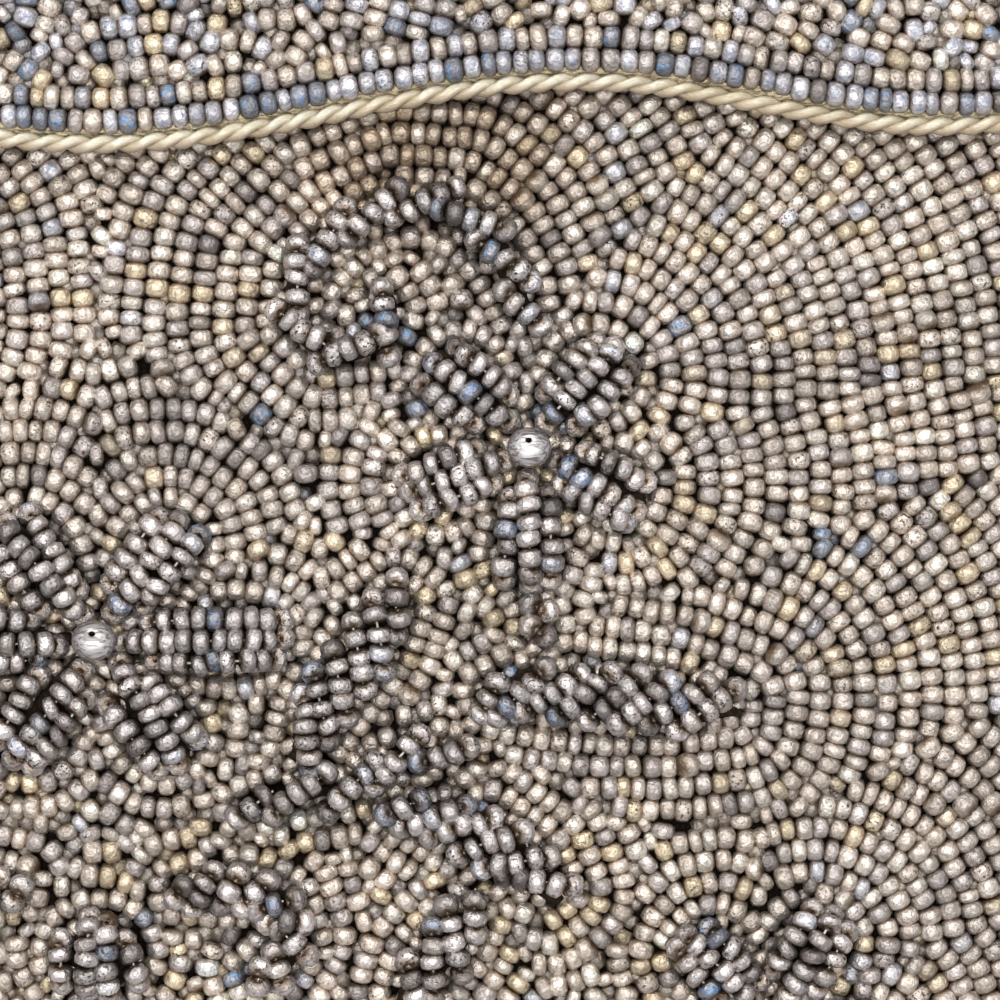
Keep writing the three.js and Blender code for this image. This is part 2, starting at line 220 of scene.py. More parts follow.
@dataclass(frozen=True)
class TarnishedBeads(Finish):
    """Metal-lined glass whose bright coat has worn to dark specks."""

    speck: tuple[float, float, float] = (0.10, 0.075, 0.055)
    bloom: tuple[float, float, float] = (0.20, 0.33, 0.53)
    shine: float = 0.33
    metal: float = 0.78

    def dress(self, tree: bpy.types.NodeTree) -> None:
        """Colours each bead by its tint, with specks where its coat is worn.

        Args:
            tree: The material's nodes.
        """
        shader = self.shader(tree)
        # the tint attribute carries each bead's colour with its painted shade multiplied in
        tint = tree.nodes.new("ShaderNodeAttribute")
        tint.attribute_name = "tint"
        shader.inputs["Metallic"].default_value = self.metal
        cloudy = self.speckle(tree, 1500, 0.36, 0.66)
        clouded = self.blend(tree, cloudy, (1.0, 1.0, 1.0), (0.66, 0.63, 0.61))
        coat = self.blend(tree, 1.0, tint.outputs["Color"], clouded, "MULTIPLY")
        coat = self.blend(tree, self.blue_share(tree, tint), coat, self.bloom)
        specks = self.speckle(tree, 3300, 0.55, 0.66)
        worn = self.product(tree, specks, tint.outputs["Alpha"])
        colour = self.blend(tree, worn, coat, self.speck)
        tree.links.new(colour, shader.inputs["Base Color"])
        rough = tree.nodes.new("ShaderNodeMapRange")
        rough.inputs["To Min"].default_value = self.shine
        rough.inputs["To Max"].default_value = self.shine + 0.2
        tree.links.new(cloudy, rough.inputs["Value"])
        tree.links.new(rough.outputs["Result"], shader.inputs["Roughness"])
        self.bump(tree, self.speckle(tree, 2300, 0.25, 0.75), 0.00012, 0.8)

    def blue_share(self, tree: bpy.types.NodeTree, tint: bpy.types.Node,
                   ) -> bpy.types.NodeSocket:
        """Finds where a blue bloom shows: in spots on the beads whose tint is blue.

        Args:
            tree: The material's nodes.
            tint: The node that reads the tint.

        Returns:
            The share of bloom, from 0 to 1.
        """
        parts = tree.nodes.new("ShaderNodeSeparateColor")
        tree.links.new(tint.outputs["Color"], parts.inputs["Color"])
        over = tree.nodes.new("ShaderNodeMath")
        over.operation = "SUBTRACT"
        over.use_clamp = True
        tree.links.new(parts.outputs["Blue"], over.inputs[0])
        tree.links.new(parts.outputs["Red"], over.inputs[1])
        reach = tree.nodes.new("ShaderNodeMapRange")
        reach.inputs["From Max"].default_value = 0.045
        tree.links.new(over.outputs["Value"], reach.inputs["Value"])
        spots = self.speckle(tree, 1500, 0.55, 0.68)
        return self.product(tree, reach.outputs["Result"], spots)

    @staticmethod
    def product(tree: bpy.types.NodeTree, first: bpy.types.NodeSocket,
                second: bpy.types.NodeSocket) -> bpy.types.NodeSocket:
        """Multiplies two patterns."""
        times = tree.nodes.new("ShaderNodeMath")
        times.operation = "MULTIPLY"
        tree.links.new(first, times.inputs[0])
        tree.links.new(second, times.inputs[1])
        return times.outputs["Value"]


@dataclass(frozen=True)
class BackingCloth(Finish):
    """Close plain weave, near-black as painted shade, that shows in the gaps between the beads.
    """

    # near-black colours: painted shade for the gaps between the beads
    thread: tuple[float, float, float] = (0.012, 0.007, 0.004)
    gap: tuple[float, float, float] = (0.004, 0.002, 0.001)

    def dress(self, tree: bpy.types.NodeTree) -> None:
        """Weaves warp and weft from two stripe patterns.

        Args:
            tree: The material's nodes.
        """
        shader = self.shader(tree)
        shader.inputs["Roughness"].default_value = 0.9
        shader.inputs["Specular IOR Level"].default_value = 0.1
        place = tree.nodes.new("ShaderNodeTexCoord")
        stripes = []
        for way in ("X", "Y"):
            wave = tree.nodes.new("ShaderNodeTexWave")
            wave.bands_direction = way
            wave.inputs["Scale"].default_value = 550
            wave.inputs["Distortion"].default_value = 0.6
            tree.links.new(place.outputs["Object"], wave.inputs["Vector"])
            stripes.append(wave.outputs["Fac"])
        weave = tree.nodes.new("ShaderNodeMath")
        weave.operation = "MULTIPLY"
        tree.links.new(stripes[0], weave.inputs[0])
        tree.links.new(stripes[1], weave.inputs[1])
        colour = self.blend(tree, weave.outputs["Value"], self.gap, self.thread)
        tree.links.new(colour, shader.inputs["Base Color"])
        self.bump(tree, weave.outputs["Value"], 0.0001, 0.6)


@dataclass(frozen=True)
class SatinPly(Finish):
    """Lustrous rayon whose fine threads run along the ply."""

    light: tuple[float, float, float] = (0.98, 0.93, 0.76)
    dark: tuple[float, float, float] = (0.76, 0.65, 0.45)
    # painted shade: the colour of each ply's side turned away from the light
    ply_shade: tuple[float, float, float] = (0.40, 0.30, 0.19)

    def dress(self, tree: bpy.types.NodeTree) -> None:
        """Runs fine threads along the ply's own map, and paints shade on its unlit side.

        Args:
            tree: The material's nodes.
        """
        shader = self.shader(tree)
        shader.inputs["Roughness"].default_value = 0.28
        shader.inputs["Metallic"].default_value = 0.5
        along = tree.nodes.new("ShaderNodeUVMap")
        along.uv_map = "ply"
        squeeze = tree.nodes.new("ShaderNodeMapping")
        squeeze.inputs["Scale"].default_value = (140, 16, 1)
        threads = tree.nodes.new("ShaderNodeTexNoise")
        threads.inputs["Scale"].default_value = 1.0
        threads.inputs["Detail"].default_value = 3.0
        tree.links.new(along.outputs["UV"], squeeze.inputs["Vector"])
        tree.links.new(squeeze.outputs["Vector"], threads.inputs["Vector"])
        sharp = tree.nodes.new("ShaderNodeMapRange")
        sharp.inputs["From Min"].default_value = 0.34
        sharp.inputs["From Max"].default_value = 0.54
        tree.links.new(threads.outputs["Fac"], sharp.inputs["Value"])
        thready = self.blend(tree, sharp.outputs["Result"], self.dark, self.light)
        ply_shade_share = tree.nodes.new("ShaderNodeAttribute")
        ply_shade_share.attribute_name = "ply_shade"
        stained = self.blend(tree, self.speckle(tree, 130, 0.45, 0.75), thready,
                             (0.80, 0.74, 0.64), "MULTIPLY")
        colour = self.blend(tree, ply_shade_share.outputs["Fac"], stained, self.ply_shade)
        tree.links.new(colour, shader.inputs["Base Color"])
        self.bump(tree, sharp.outputs["Result"], 0.00005, 0.5)


@dataclass(frozen=True)
class GoldTape(Finish):
    """Loose gold gauze tape, dull in its gaps."""

    thread: tuple[float, float, float] = (0.84, 0.74, 0.50)
    gap: tuple[float, float, float] = (0.36, 0.28, 0.17)

    def dress(self, tree: bpy.types.NodeTree) -> None:
        """Draws the gauze as a checked weave with broken threads.

        Args:
            tree: The material's nodes.
        """
        shader = self.shader(tree)
        shader.inputs["Roughness"].default_value = 0.45
        shader.inputs["Metallic"].default_value = 0.35
        fibres = self.speckle(tree, 1500, 0.36, 0.58, (1, 2.5, 1))
        colour = self.blend(tree, fibres, self.gap, self.thread)
        tree.links.new(colour, shader.inputs["Base Color"])
        self.bump(tree, fibres, 0.00012, 0.8)


@dataclass(frozen=True)
class ScratchedSilver(Finish):
    """Silver worn by fine scratches."""

    bright: tuple[float, float, float] = (0.63, 0.60, 0.59)
    scratch: tuple[float, float, float] = (0.28, 0.25, 0.24)

    def dress(self, tree: bpy.types.NodeTree) -> None:
        """Draws long thin scratches across the bead.

        Args:
            tree: The material's nodes.
        """
        shader = self.shader(tree)
        shader.inputs["Metallic"].default_value = 0.9
        shader.inputs["Roughness"].default_value = 0.32
        lines = self.speckle(tree, 420, 0.47, 0.60, (1.0, 9.0, 9.0))
        colour = self.blend(tree, lines, self.bright, self.scratch)
        tree.links.new(colour, shader.inputs["Base Color"])
        self.bump(tree, lines, 0.00005, 0.6)


@dataclass(frozen=True)
class PlainMetal(Finish):
    """Dull nickel with a little mottling."""

    def dress(self, tree: bpy.types.NodeTree) -> None:
        """Mottles the metal.

        Args:
            tree: The material's nodes.
        """
        shader = self.shader(tree)
        shader.inputs["Metallic"].default_value = 1.0
        shader.inputs["Roughness"].default_value = 0.35
        mottle = self.speckle(tree, 700, 0.4, 0.7)
        colour = self.blend(tree, mottle, (0.52, 0.50, 0.47), (0.36, 0.34, 0.31))
        tree.links.new(colour, shader.inputs["Base Color"])


@dataclass(frozen=True)
class Felt(Finish):
    """Dark felt of the padding under the raised beads."""

    def dress(self, tree: bpy.types.NodeTree) -> None:
        """Gives the felt a fibrous mottle.

        Args:
            tree: The material's nodes.
        """
        shader = self.shader(tree)
        shader.inputs["Roughness"].default_value = 0.95
        shader.inputs["Specular IOR Level"].default_value = 0.1
        fibres = self.speckle(tree, 2500, 0.35, 0.7)
        colour = self.blend(tree, fibres, (0.010, 0.006, 0.004), (0.030, 0.020, 0.013))
        tree.links.new(colour, shader.inputs["Base Color"])


@dataclass(frozen=True)
class Thread(Finish):
    """Pale waxed thread between strung beads."""

    def dress(self, tree: bpy.types.NodeTree) -> None:
        """Varies the thread's tone.

        Args:
            tree: The material's nodes.
        """
        shader = self.shader(tree)
        shader.inputs["Roughness"].default_value = 0.4
        tone = self.speckle(tree, 1200, 0.35, 0.65)
        colour = self.blend(tree, tone, (0.50, 0.46, 0.41), (0.80, 0.77, 0.72))
        tree.links.new(colour, shader.inputs["Base Color"])


@dataclass(frozen=True)
class Paper(Finish):
    """Plain pale paper under the purse."""

    def dress(self, tree: bpy.types.NodeTree) -> None:
        """Gives the paper a faint tooth.

        Args:
            tree: The material's nodes.
        """
        shader = self.shader(tree)
        shader.inputs["Roughness"].default_value = 0.9
        tooth = self.speckle(tree, 300, 0.3, 0.7)
        colour = self.blend(tree, tooth, (0.76, 0.75, 0.73), (0.82, 0.81, 0.79))
        tree.links.new(colour, shader.inputs["Base Color"])


GROUND_BEADS = TarnishedBeads("champagne_beads")
RELIEF_BEADS = TarnishedBeads("gunmetal_beads", speck=(0.06, 0.05, 0.045), shine=0.27,
                              metal=0.88)
CLOTH = BackingCloth("backing_cloth")
CORD = SatinPly("satin_cord")
TAPE = GoldTape("gold_tape")
SILVER = ScratchedSilver("scratched_silver")
NICKEL = PlainMetal("plain_nickel")
FELT = Felt("padding_felt")
THREAD = Thread("bead_thread")
PAPER = Paper("pale_paper")


# Meshes


def mesh_piece(name: str, points: Array, faces: list[tuple[int, ...]], finish: Finish,
               smooth: bool = True) -> bpy.types.Object:
    """Makes a piece from points and faces and dresses it.

    Args:
        name: The piece's name.
        points: Its corners, one row each.
        faces: The corners round each face.
        finish: What it is made of.
        smooth: Whether its faces are shaded as one curved surface.

    Returns:
        The new object.
    """
    mesh = bpy.data.meshes.new(name)
    mesh.from_pydata([tuple(p) for p in points], [], faces)
    mesh.validate()
    if smooth:
        mesh.shade_smooth()
    mesh.materials.append(finish.material())
    piece = bpy.data.objects.new(name, mesh)
    bpy.context.scene.collection.objects.link(piece)
    return piece


def tube_faces(rings: int, sides: int, first: int = 0) -> Iterator[tuple[int, ...]]:
    """Gives the faces of a capped tube.

    Args:
        rings: How many rings of points it has.
        sides: How many points there are in a ring.
        first: The number of its first point.

    Yields:
        The corners of each face, caps last.
    """
    for ring in range(rings - 1):
        for side in range(sides):
            a = first + ring * sides + side
            b = first + ring * sides + (side + 1) % sides
            yield a, b, b + sides, a + sides
    last = first + (rings - 1) * sides
    yield tuple(range(first + sides - 1, first - 1, -1))
    yield tuple(range(last, last + sides))


def slab_faces(rows: int, columns: int) -> list[tuple[int, ...]]:
    """Gives the faces of a closed slab between two grids of points, outer grid first.

    Args:
        rows: How many rows each grid has.
        columns: How many points a row has.

    Returns:
        The corners of each face.
    """
    size = rows * columns
    faces = []
    for row in range(rows - 1):
        for column in range(columns - 1):
            a = row * columns + column
            b = a + 1
            faces.append((a, b, b + columns, a + columns))
            faces.append((size + a, size + a + columns, size + b + columns, size + b))
        left, right = row * columns, (row + 1) * columns - 1
        faces.append((left, left + columns, size + left + columns, size + left))
        faces.append((right, size + right, size + right + columns, right + columns))
    for column in range(columns - 1):
        last = (rows - 1) * columns + column
        faces.append((column, size + column, size + column + 1, column + 1))
        faces.append((last, last + 1, size + last + 1, size + last))
    return faces


def unit(vectors: Array) -> Array:
    """Scales vectors to length 1."""
    return vectors / np.maximum(np.linalg.norm(vectors, axis=-1, keepdims=True), 1e-12)


def along_line(points: Array, places: Array) -> Array:
    """Finds points at distances along a line of points."""
    steps = np.linalg.norm(np.diff(points, axis=0), axis=1)
    reach = np.concatenate([[0.0], np.cumsum(steps)])
    return np.stack([np.interp(places, reach, points[:, k]) for k in range(points.shape[1])], 1)


def length_of(points: Array) -> float:
    """Measures a line of points."""
    return float(np.linalg.norm(np.diff(points, axis=0), axis=1).sum())


def smooth_curve(points: Array, count: int) -> Array:
    """Draws a smooth curve through points.

    Args:
        points: The points that it passes through.
        count: How many steps it takes between each two.

    Returns:
        The points of the curve.
    """
    padded = np.vstack([2 * points[0] - points[1], points, 2 * points[-1] - points[-2]])
    share = np.linspace(0, 1, count, endpoint=False)[:, None]
    pieces = []
    for a, b, c, d in zip(padded, padded[1:], padded[2:], padded[3:]):
        pieces.append(0.5 * (2 * b + (c - a) * share + (2 * a - 5 * b + 4 * c - d) * share**2
                             + (3 * b - a - 3 * c + d) * share**3))
    return np.vstack([*pieces, points[-1:]])


# One bead, and many


@dataclass(frozen=True)
class BeadPattern:
    """A bead of length 1 along X and width 1, as arrays to copy from."""

    points: Array
    corners: Array
    starts: Array
    places: Array

    def painted_shade(self) -> Array:
        """Gives the painted shade on a colour: darker and browner at the hole ends and below."""
        # painted shade: darkens the hole ends, where beads touch, and the under side; coarse
        # beads less
        ends = ((0.5 - np.abs(self.points[:, 0])) / 0.08).clip(0, 1)
        top = ((self.points[:, 2] + 0.24) / 0.40).clip(0, 1)
        least = 0.38 if len(self.points) > 40 else 0.84
        unshaded = (least + (1 - least) * ends) * (0.30 + 0.70 * top)
        return unshaded[:, None] ** [1.0, 1.2, 1.45]


@dataclass(frozen=True)
class BeadForm:
    """How one bead is cut: a drum with rounded rims, with or without a hole for its thread."""

    sides: int
    rim_cuts: int
    rim: float = 0.42
    swollen: bool = True
    holed: bool = False

    def model(self) -> BeadPattern:
        """Models the bead and reads it back as arrays.

        Returns:
            The bead's points, faces and its place on a square map.
        """
        bpy.ops.object.select_all(action="DESELECT")
        bpy.ops.mesh.primitive_cylinder_add(
            vertices=self.sides, radius=0.5, depth=1, rotation=(0, math.pi / 2, 0))
        bead = bpy.context.object
        bpy.ops.object.mode_set(mode="EDIT")
        if self.rim_cuts:
            self.choose_edges(lengthwise=False)
            bpy.ops.mesh.bevel(offset=self.rim, segments=self.rim_cuts, profile=0.6)
            self.scale_ends(3.4)
        elif self.swollen:
            self.choose_edges(lengthwise=True)
            bpy.ops.mesh.subdivide(number_cuts=1)
            self.scale_ends(0.74)
        if self.holed:
            self.pierce()
        bpy.ops.object.mode_set(mode="OBJECT")
        bpy.ops.object.transform_apply(location=True, rotation=True, scale=True)
        mesh = bead.data
        points = np.array([v.co[:] for v in mesh.vertices])
        corners = np.array([loop.vertex_index for loop in mesh.loops])
        starts = np.array([face.loop_start for face in mesh.polygons])
        places = self.unrolled(mesh)
        bpy.data.objects.remove(bead)
        bpy.data.meshes.remove(mesh)
        return BeadPattern(points, corners, starts, places)

    @staticmethod
    def choose_edges(lengthwise: bool) -> None:
        """Selects the drum's long edges, or its two rims."""
        bpy.ops.mesh.select_mode(type="EDGE")
        bpy.ops.mesh.select_all(action="DESELECT")
        drum = bmesh.from_edit_mesh(bpy.context.object.data)
        for edge in drum.edges:
            edge.select_set((abs(edge.verts[0].co.z - edge.verts[1].co.z) > 0.5) == lengthwise)
        bmesh.update_edit_mesh(bpy.context.object.data)

    @staticmethod
    def scale_ends(share: float) -> None:
        """Makes both flat ends of the drum wider or narrower by a share."""
        bpy.ops.mesh.select_mode(type="VERT")
        bpy.ops.mesh.select_all(action="DESELECT")
        drum = bmesh.from_edit_mesh(bpy.context.object.data)
        for corner in drum.verts:
            corner.select_set(abs(corner.co.z) > 0.49)
        bmesh.update_edit_mesh(bpy.context.object.data)
        bpy.ops.transform.resize(value=(share, share, 1), orient_type="LOCAL")

    @staticmethod
    def pierce() -> None:
        """Opens a hole from one end of the drum to the other."""
        bpy.ops.mesh.select_mode(type="FACE")
        bpy.ops.mesh.select_all(action="DESELECT")
        drum = bmesh.from_edit_mesh(bpy.context.object.data)
        for part in drum.faces:
            part.select_set(abs(part.normal.z) > 0.98)
        bmesh.update_edit_mesh(bpy.context.object.data)
        bpy.ops.mesh.inset(thickness=0.12, depth=-0.04)
        bpy.ops.mesh.delete(type="ONLY_FACE")
        drum = bmesh.from_edit_mesh(bpy.context.object.data)
        for edge in drum.edges:
            edge.select_set(edge.is_boundary)
        bmesh.update_edit_mesh(bpy.context.object.data)
        bpy.ops.mesh.select_mode(type="EDGE")
        bpy.ops.mesh.bridge_edge_loops()

    @staticmethod
    def unrolled(mesh: bpy.types.Mesh) -> Array:
        """Lays the bead out on a square: its sides as a strip, its two ends as discs.

        Args:
            mesh: The bead's mesh, round X.

        Returns:
            The place of each face corner on the square.
        """
        places = np.zeros((len(mesh.loops), 2))
        for face in mesh.polygons:
            corners = list(face.loop_indices)
            points = np.array([mesh.vertices[mesh.loops[i].vertex_index].co[:] for i in corners])
            if len(corners) > 4:
                side = 0.25 if face.normal.x > 0 else 0.75
                places[corners] = [side, 0.13] + points[:, 1:] * 0.22
                continue
            middle = math.atan2(face.center.z, face.center.y)
            turn = np.arctan2(points[:, 2], points[:, 1]) - middle
            turn = middle + (turn + math.pi) % (2 * math.pi) - math.pi
            inside = face.normal.dot(Vector((0, face.center.y, face.center.z))) < -0.02
            spread = np.hypot(points[:, 1], points[:, 2]) * np.sign(points[:, 0])
            places[corners, 0] = 0.5 + turn / (2.3 * math.pi)
            if inside:
                places[corners, 1] = 0.40 + points[:, 0] * 0.10
            else:
                places[corners, 1] = 0.74 + points[:, 0] * 0.26 + (0.5 * np.sign(spread)
                                                                   - spread) * 0.24
        return places.clip(0.01, 0.99)


FORMS = {
    Detail.STRUNG: BeadForm(9, 3, holed=True),
    Detail.NEAR: BeadForm(8, 3),
    Detail.FAR: BeadForm(5, 0),
    Detail.BACK: BeadForm(5, 0, swollen=False),
}


@dataclass
class Beads:
    """Many beads: where each one lies, which way its hole runs, its size and its tint."""

    middles: list[Array] = field(default_factory=list)
    ways: list[Array] = field(default_factory=list)
    ups: list[Array] = field(default_factory=list)
    sizes: list[Array] = field(default_factory=list)
    tints: list[Array] = field(default_factory=list)

    def add(self, middles: Array, ways: Array, ups: Array, sizes: Array, tints: Array) -> None:
        """Adds some beads.

        Args:
            middles: The middle of each bead.
            ways: The direction of its hole.
            ups: The direction out of the cloth.
            sizes: Its length and its width.
            tints: Its colour, and how worn it is.
        """
        self.middles.append(middles)
        self.ways.append(unit(ways))
        self.ups.append(ups)
        self.sizes.append(sizes)
        self.tints.append(tints)

    def split(self, chosen: Callable[[Array], Array]) -> tuple["Beads", "Beads"]:
        """Parts the beads in two.

        Args:
            chosen: Says for each middle whether it goes in the first part.

        Returns:
            The beads that were chosen, and the others.
        """
        return self.parted(chosen(self.stacked()[0]))

    def parted(self, mask: Array) -> tuple["Beads", "Beads"]:
        """Parts the beads that a mask picks from the others."""
        parts = []
        for kept in (mask, ~mask):
            part = Beads()
            part.add(*(values[kept] for values in self.stacked()))
            parts.append(part)
        return parts[0], parts[1]

    def stacked(self) -> tuple[Array, ...]:
        """Joins the lists into whole arrays."""
        return tuple(np.concatenate(part) for part in
                     (self.middles, self.ways, self.ups, self.sizes, self.tints))

    def __len__(self) -> int:
        """Counts the beads."""
        return sum(len(part) for part in self.middles)

    def joined(self, name: str, pattern: BeadPattern, finish: Finish) -> bpy.types.Object:
        """Makes one mesh of a copy of the pattern for each bead.

        Args:
            name: The piece's name.
            pattern: The bead to copy.
            finish: What the beads are made of.

        Returns:
            The new object.
        """
        middles, ways, ups, sizes, tints = self.stacked()
        count, corners = len(middles), len(pattern.points)
        across = unit(np.cross(ups, ways))
        out = np.cross(ways, across)
        shape = pattern.points[None, :, :]
        points = (middles[:, None, :]
                  + shape[:, :, 0:1] * (ways * sizes[:, 0:1])[:, None, :]
                  + shape[:, :, 1:2] * (across * sizes[:, 1:2])[:, None, :]
                  + shape[:, :, 2:3] * (out * sizes[:, 1:2])[:, None, :])
        shift = np.arange(count)[:, None]
        loops = (pattern.corners[None, :] + shift * corners).ravel()
        starts = (pattern.starts[None, :] + shift * len(pattern.corners)).ravel()
        mesh = bpy.data.meshes.new(name)
        mesh.vertices.add(count * corners)
        mesh.vertices.foreach_set("co", points.astype(np.float32).ravel())
        mesh.loops.add(len(loops))
        mesh.loops.foreach_set("vertex_index", loops.astype(np.int32))
        mesh.polygons.add(len(starts))
        mesh.polygons.foreach_set("loop_start", starts.astype(np.int32))
        mesh.update(calc_edges=True)
        mesh.shade_smooth()
        shades = np.repeat(tints, corners, 0)
        # painted shade: each bead is darkened at its ends and on its under side
        shades[:, :3] *= np.tile(pattern.painted_shade(), (count, 1))
        colours = mesh.attributes.new("tint", "FLOAT_COLOR", "POINT")
        colours.data.foreach_set("color", shades.astype(np.float32).ravel())
        self.lay_out(mesh, pattern, count)
        mesh.materials.append(finish.material())
        piece = bpy.data.objects.new(name, mesh)
        bpy.context.scene.collection.objects.link(piece)
        return piece

    @staticmethod
    def lay_out(mesh: bpy.types.Mesh, pattern: BeadPattern, count: int) -> None:
        """Gives each bead its own small square of the map.

        Args:
            mesh: The joined beads.
            pattern: The bead that was copied.
            count: How many there are.
        """
        across = math.ceil(math.sqrt(count))
        number = np.arange(count)
        corner = np.stack([number % across, number // across], 1)[:, None, :]
        places = (corner + 0.04 + 0.92 * pattern.places[None, :, :]) / across
        layer = mesh.uv_layers.new(name="OFBake")
        layer.data.foreach_set("uv", places.astype(np.float32).ravel())


# Rows of beads


class Bed:
    """Bead places on a flat plan, where each new bead must clear those already there."""

    CELL = BEAD_WIDTH

    def __init__(self) -> None:
        """Starts with no beads."""
        self.cells: dict[tuple[int, int], list[int]] = defaultdict(list)
        self.places: list[tuple[float, ...]] = []

    def offer(self, x: float, y: float, way: tuple[float, float], length: float, width: float,
              snug: float) -> bool:
        """Adds a bead if it clears its neighbours.

        Args:
            x: Its place across the plan.
            y: Its place up the plan.
            way: The direction of its hole.
            length: How long it is.
            width: How wide it is.
            snug: The share of the touching distance that is far enough.

        Returns:
            Whether it was added.
        """
        column, row = int(x // self.CELL), int(y // self.CELL)
        for i in range(column - 1, column + 2):
            for j in range(row - 1, row + 2):
                for other in self.cells.get((i, j), ()):
                    if self.clash(self.places[other], (x, y, *way, length, width), snug):
                        return False
        self.cells[column, row].append(len(self.places))
        self.places.append((x, y, *way, length, width))
        return True

    @staticmethod
    def clash(first: tuple[float, ...], second: tuple[float, ...], snug: float) -> bool:
        """Tests whether two beads lie too close.

        Args:
            first: Place, direction, length and width of a bead.
            second: The same of another.
            snug: The share of the touching distance that is far enough.

        Returns:
            True if they would run into each other.
        """
        dx, dy = second[0] - first[0], second[1] - first[1]
        apart = math.hypot(dx, dy)
        if apart < 1e-9:
            return True
        reach = 0.0
        for bead in (first, second):
            along = (dx * bead[2] + dy * bead[3]) / apart
            reach += 0.5 * math.sqrt((bead[4] * along) ** 2 + bead[5] ** 2 * (1 - along**2))
        return apart < snug * reach

    def reserve(self, beads: tuple[Array, ...], shares: Array) -> int:
        """Keeps the places of beads that are sewn already.

        Args:
            beads: Middles, ways, directions out, sizes and tints of the beads.
            shares: How much of its size each one keeps clear.

        Returns:
            How many places are kept.
        """
        middles, ways, _, sizes, _ = beads
        for middle, way, size in zip(middles, ways, sizes * shares[:, None]):
            flat = math.hypot(way[0], way[1])
            turn = (way[0] / flat, way[1] / flat) if flat > 1e-6 else (1.0, 0.0)
            self.cells[int(middle[0] // self.CELL), int(middle[1] // self.CELL)].append(
                len(self.places))
            self.places.append((middle[0], middle[1], *turn, size[0], size[1]))
        return len(self.places)

    def thread(self, line: Array, chance: np.random.Generator, snug: float = 0.75) -> None:
        """Threads beads along a line.

        Args:
            line: The points of the line, on the plan.
            chance: Gives the beads their uneven sizes.
            snug: How close they may lie to others.
        """
        reach = length_of(line)
        count = int(reach / BEAD_LENGTH)
        if count < 1:
            return
        sizes = chance.normal(1.0, 0.09, count).clip(0.78, 1.25)
        sizes *= reach / sizes.sum()
        ends = np.cumsum(sizes)
        places = ends - sizes / 2
        middles = along_line(line, places)
        ways = unit(along_line(line, places + 0.0006) - along_line(line, places - 0.0006))
        middles = middles + chance.normal(0, 0.00005, middles.shape)
        for middle, way, size in zip(middles, ways, sizes):
            turn = chance.normal(0, 0.09)
            bent = (way[0] * math.cos(turn) - way[1] * math.sin(turn),
                    way[0] * math.sin(turn) + way[1] * math.cos(turn))
            width = BEAD_WIDTH * chance.normal(1.0, 0.055)
            self.offer(*middle, bent, min(1.08 * size, 1.25 * BEAD_LENGTH), width, snug)

    def fill(self, plan: "Contours", inside: Callable[[Array], Array],
             chance: np.random.Generator, snug: float = 0.735) -> None:
        """Drops loose beads into the gaps that are left, smaller ones last.

        Args:
            plan: The map that the rows follow.
            inside: Says which points of the plan may hold a bead.
            chance: Gives the beads their order and turn.
            snug: How close they may lie to others.
        """
        step = 0.3 * BEAD_WIDTH
        spots = plan.points()[::2, ::2].reshape(-1, 2)
        spots = spots + chance.uniform(-0.5, 0.5, spots.shape) * step
        spots = spots[inside(spots)]
        chance.shuffle(spots)
        turns = plan.turns(spots) + chance.normal(0, 0.22, len(spots))
        for size in (1.0, 0.82):
            for (x, y), turn in zip(spots, turns):
                self.offer(x, y, (math.cos(turn), math.sin(turn)), size * BEAD_LENGTH,
                           size * BEAD_WIDTH, snug)


class Contours:
    """Level lines of a height map on a flat grid."""

    def __init__(self, low: Array, step: float, heights: Array) -> None:
        """Keeps the map.

        Args:
            low: The plan place of the first grid point.
            step: The distance between grid points.
            heights: The map, a row for each step up the plan.
        """
        self.low = low
        self.step = step
        self.heights = heights

    def points(self) -> Array:
        """Gives the plan place of every grid point."""
        rows, columns = self.heights.shape
        x = self.low[0] + self.step * np.arange(columns)
        y = self.low[1] + self.step * np.arange(rows)
        return np.stack(np.meshgrid(x, y), -1)

    def turns(self, places: Array) -> Array:
        """Finds the direction of the level lines at places, in radians."""
        reach = 2 * self.step
        slopes = [read_map(self.heights, self.low, self.step, places + step)
                  - read_map(self.heights, self.low, self.step, places - step)
                  for step in (np.array([reach, 0]), np.array([0, reach]))]
        return np.arctan2(slopes[0], -slopes[1])

    def lines(self, level: float) -> Iterator[Array]:
        """Follows one level.

        Args:
            level: The height to follow.

        Yields:
            The points of each line at that height.
        """
        links = self.links(level)
        ends = [edge for edge, others in links.items() if len(others) == 1]
        seen: set[tuple[int, int, int]] = set()
        for start in [*ends, *links]:
            if start in seen:
                continue
            chain, edge = [], start
            while edge is not None:
                seen.add(edge)
                chain.append(edge)
                edge = next((other for other in links[edge] if other not in seen), None)
            if len(chain) > 2 and start in links[chain[-1]]:
                chain.append(start)
            if len(chain) > 3:
                yield np.array([self.crossing(edge, level) for edge in chain])

    def links(self, level: float) -> dict[tuple[int, int, int], list[tuple[int, int, int]]]:
        """Finds which grid edges a level crosses, and joins those that share a cell."""
        above = self.heights > level
        count = (above[:-1, :-1].astype(int) + above[:-1, 1:] + above[1:, :-1] + above[1:, 1:])
        links: dict[tuple[int, int, int], list[tuple[int, int, int]]] = defaultdict(list)
        for row, column in np.argwhere((count > 0) & (count < 4)):
            row, column = int(row), int(column)
            sides = (
                ((row, column, 0), above[row, column] != above[row, column + 1]),
                ((row, column + 1, 1), above[row, column + 1] != above[row + 1, column + 1]),
                ((row + 1, column, 0), above[row + 1, column] != above[row + 1, column + 1]),
                ((row, column, 1), above[row, column] != above[row + 1, column]),
            )
            crossed = [edge for edge, cut in sides if cut]
            for a, b in zip(crossed[::2], crossed[1::2]):
                links[a].append(b)
                links[b].append(a)
        return links

    def crossing(self, edge: tuple[int, int, int], level: float) -> Array:
        """Finds where a level crosses a grid edge."""
        row, column, upward = edge
        first = self.heights[row, column]
        second = self.heights[row + upward, column + 1 - upward]
        share = (level - first) / (second - first)
        return self.low + self.step * np.array([column + share * (1 - upward),
                                                row + share * upward])


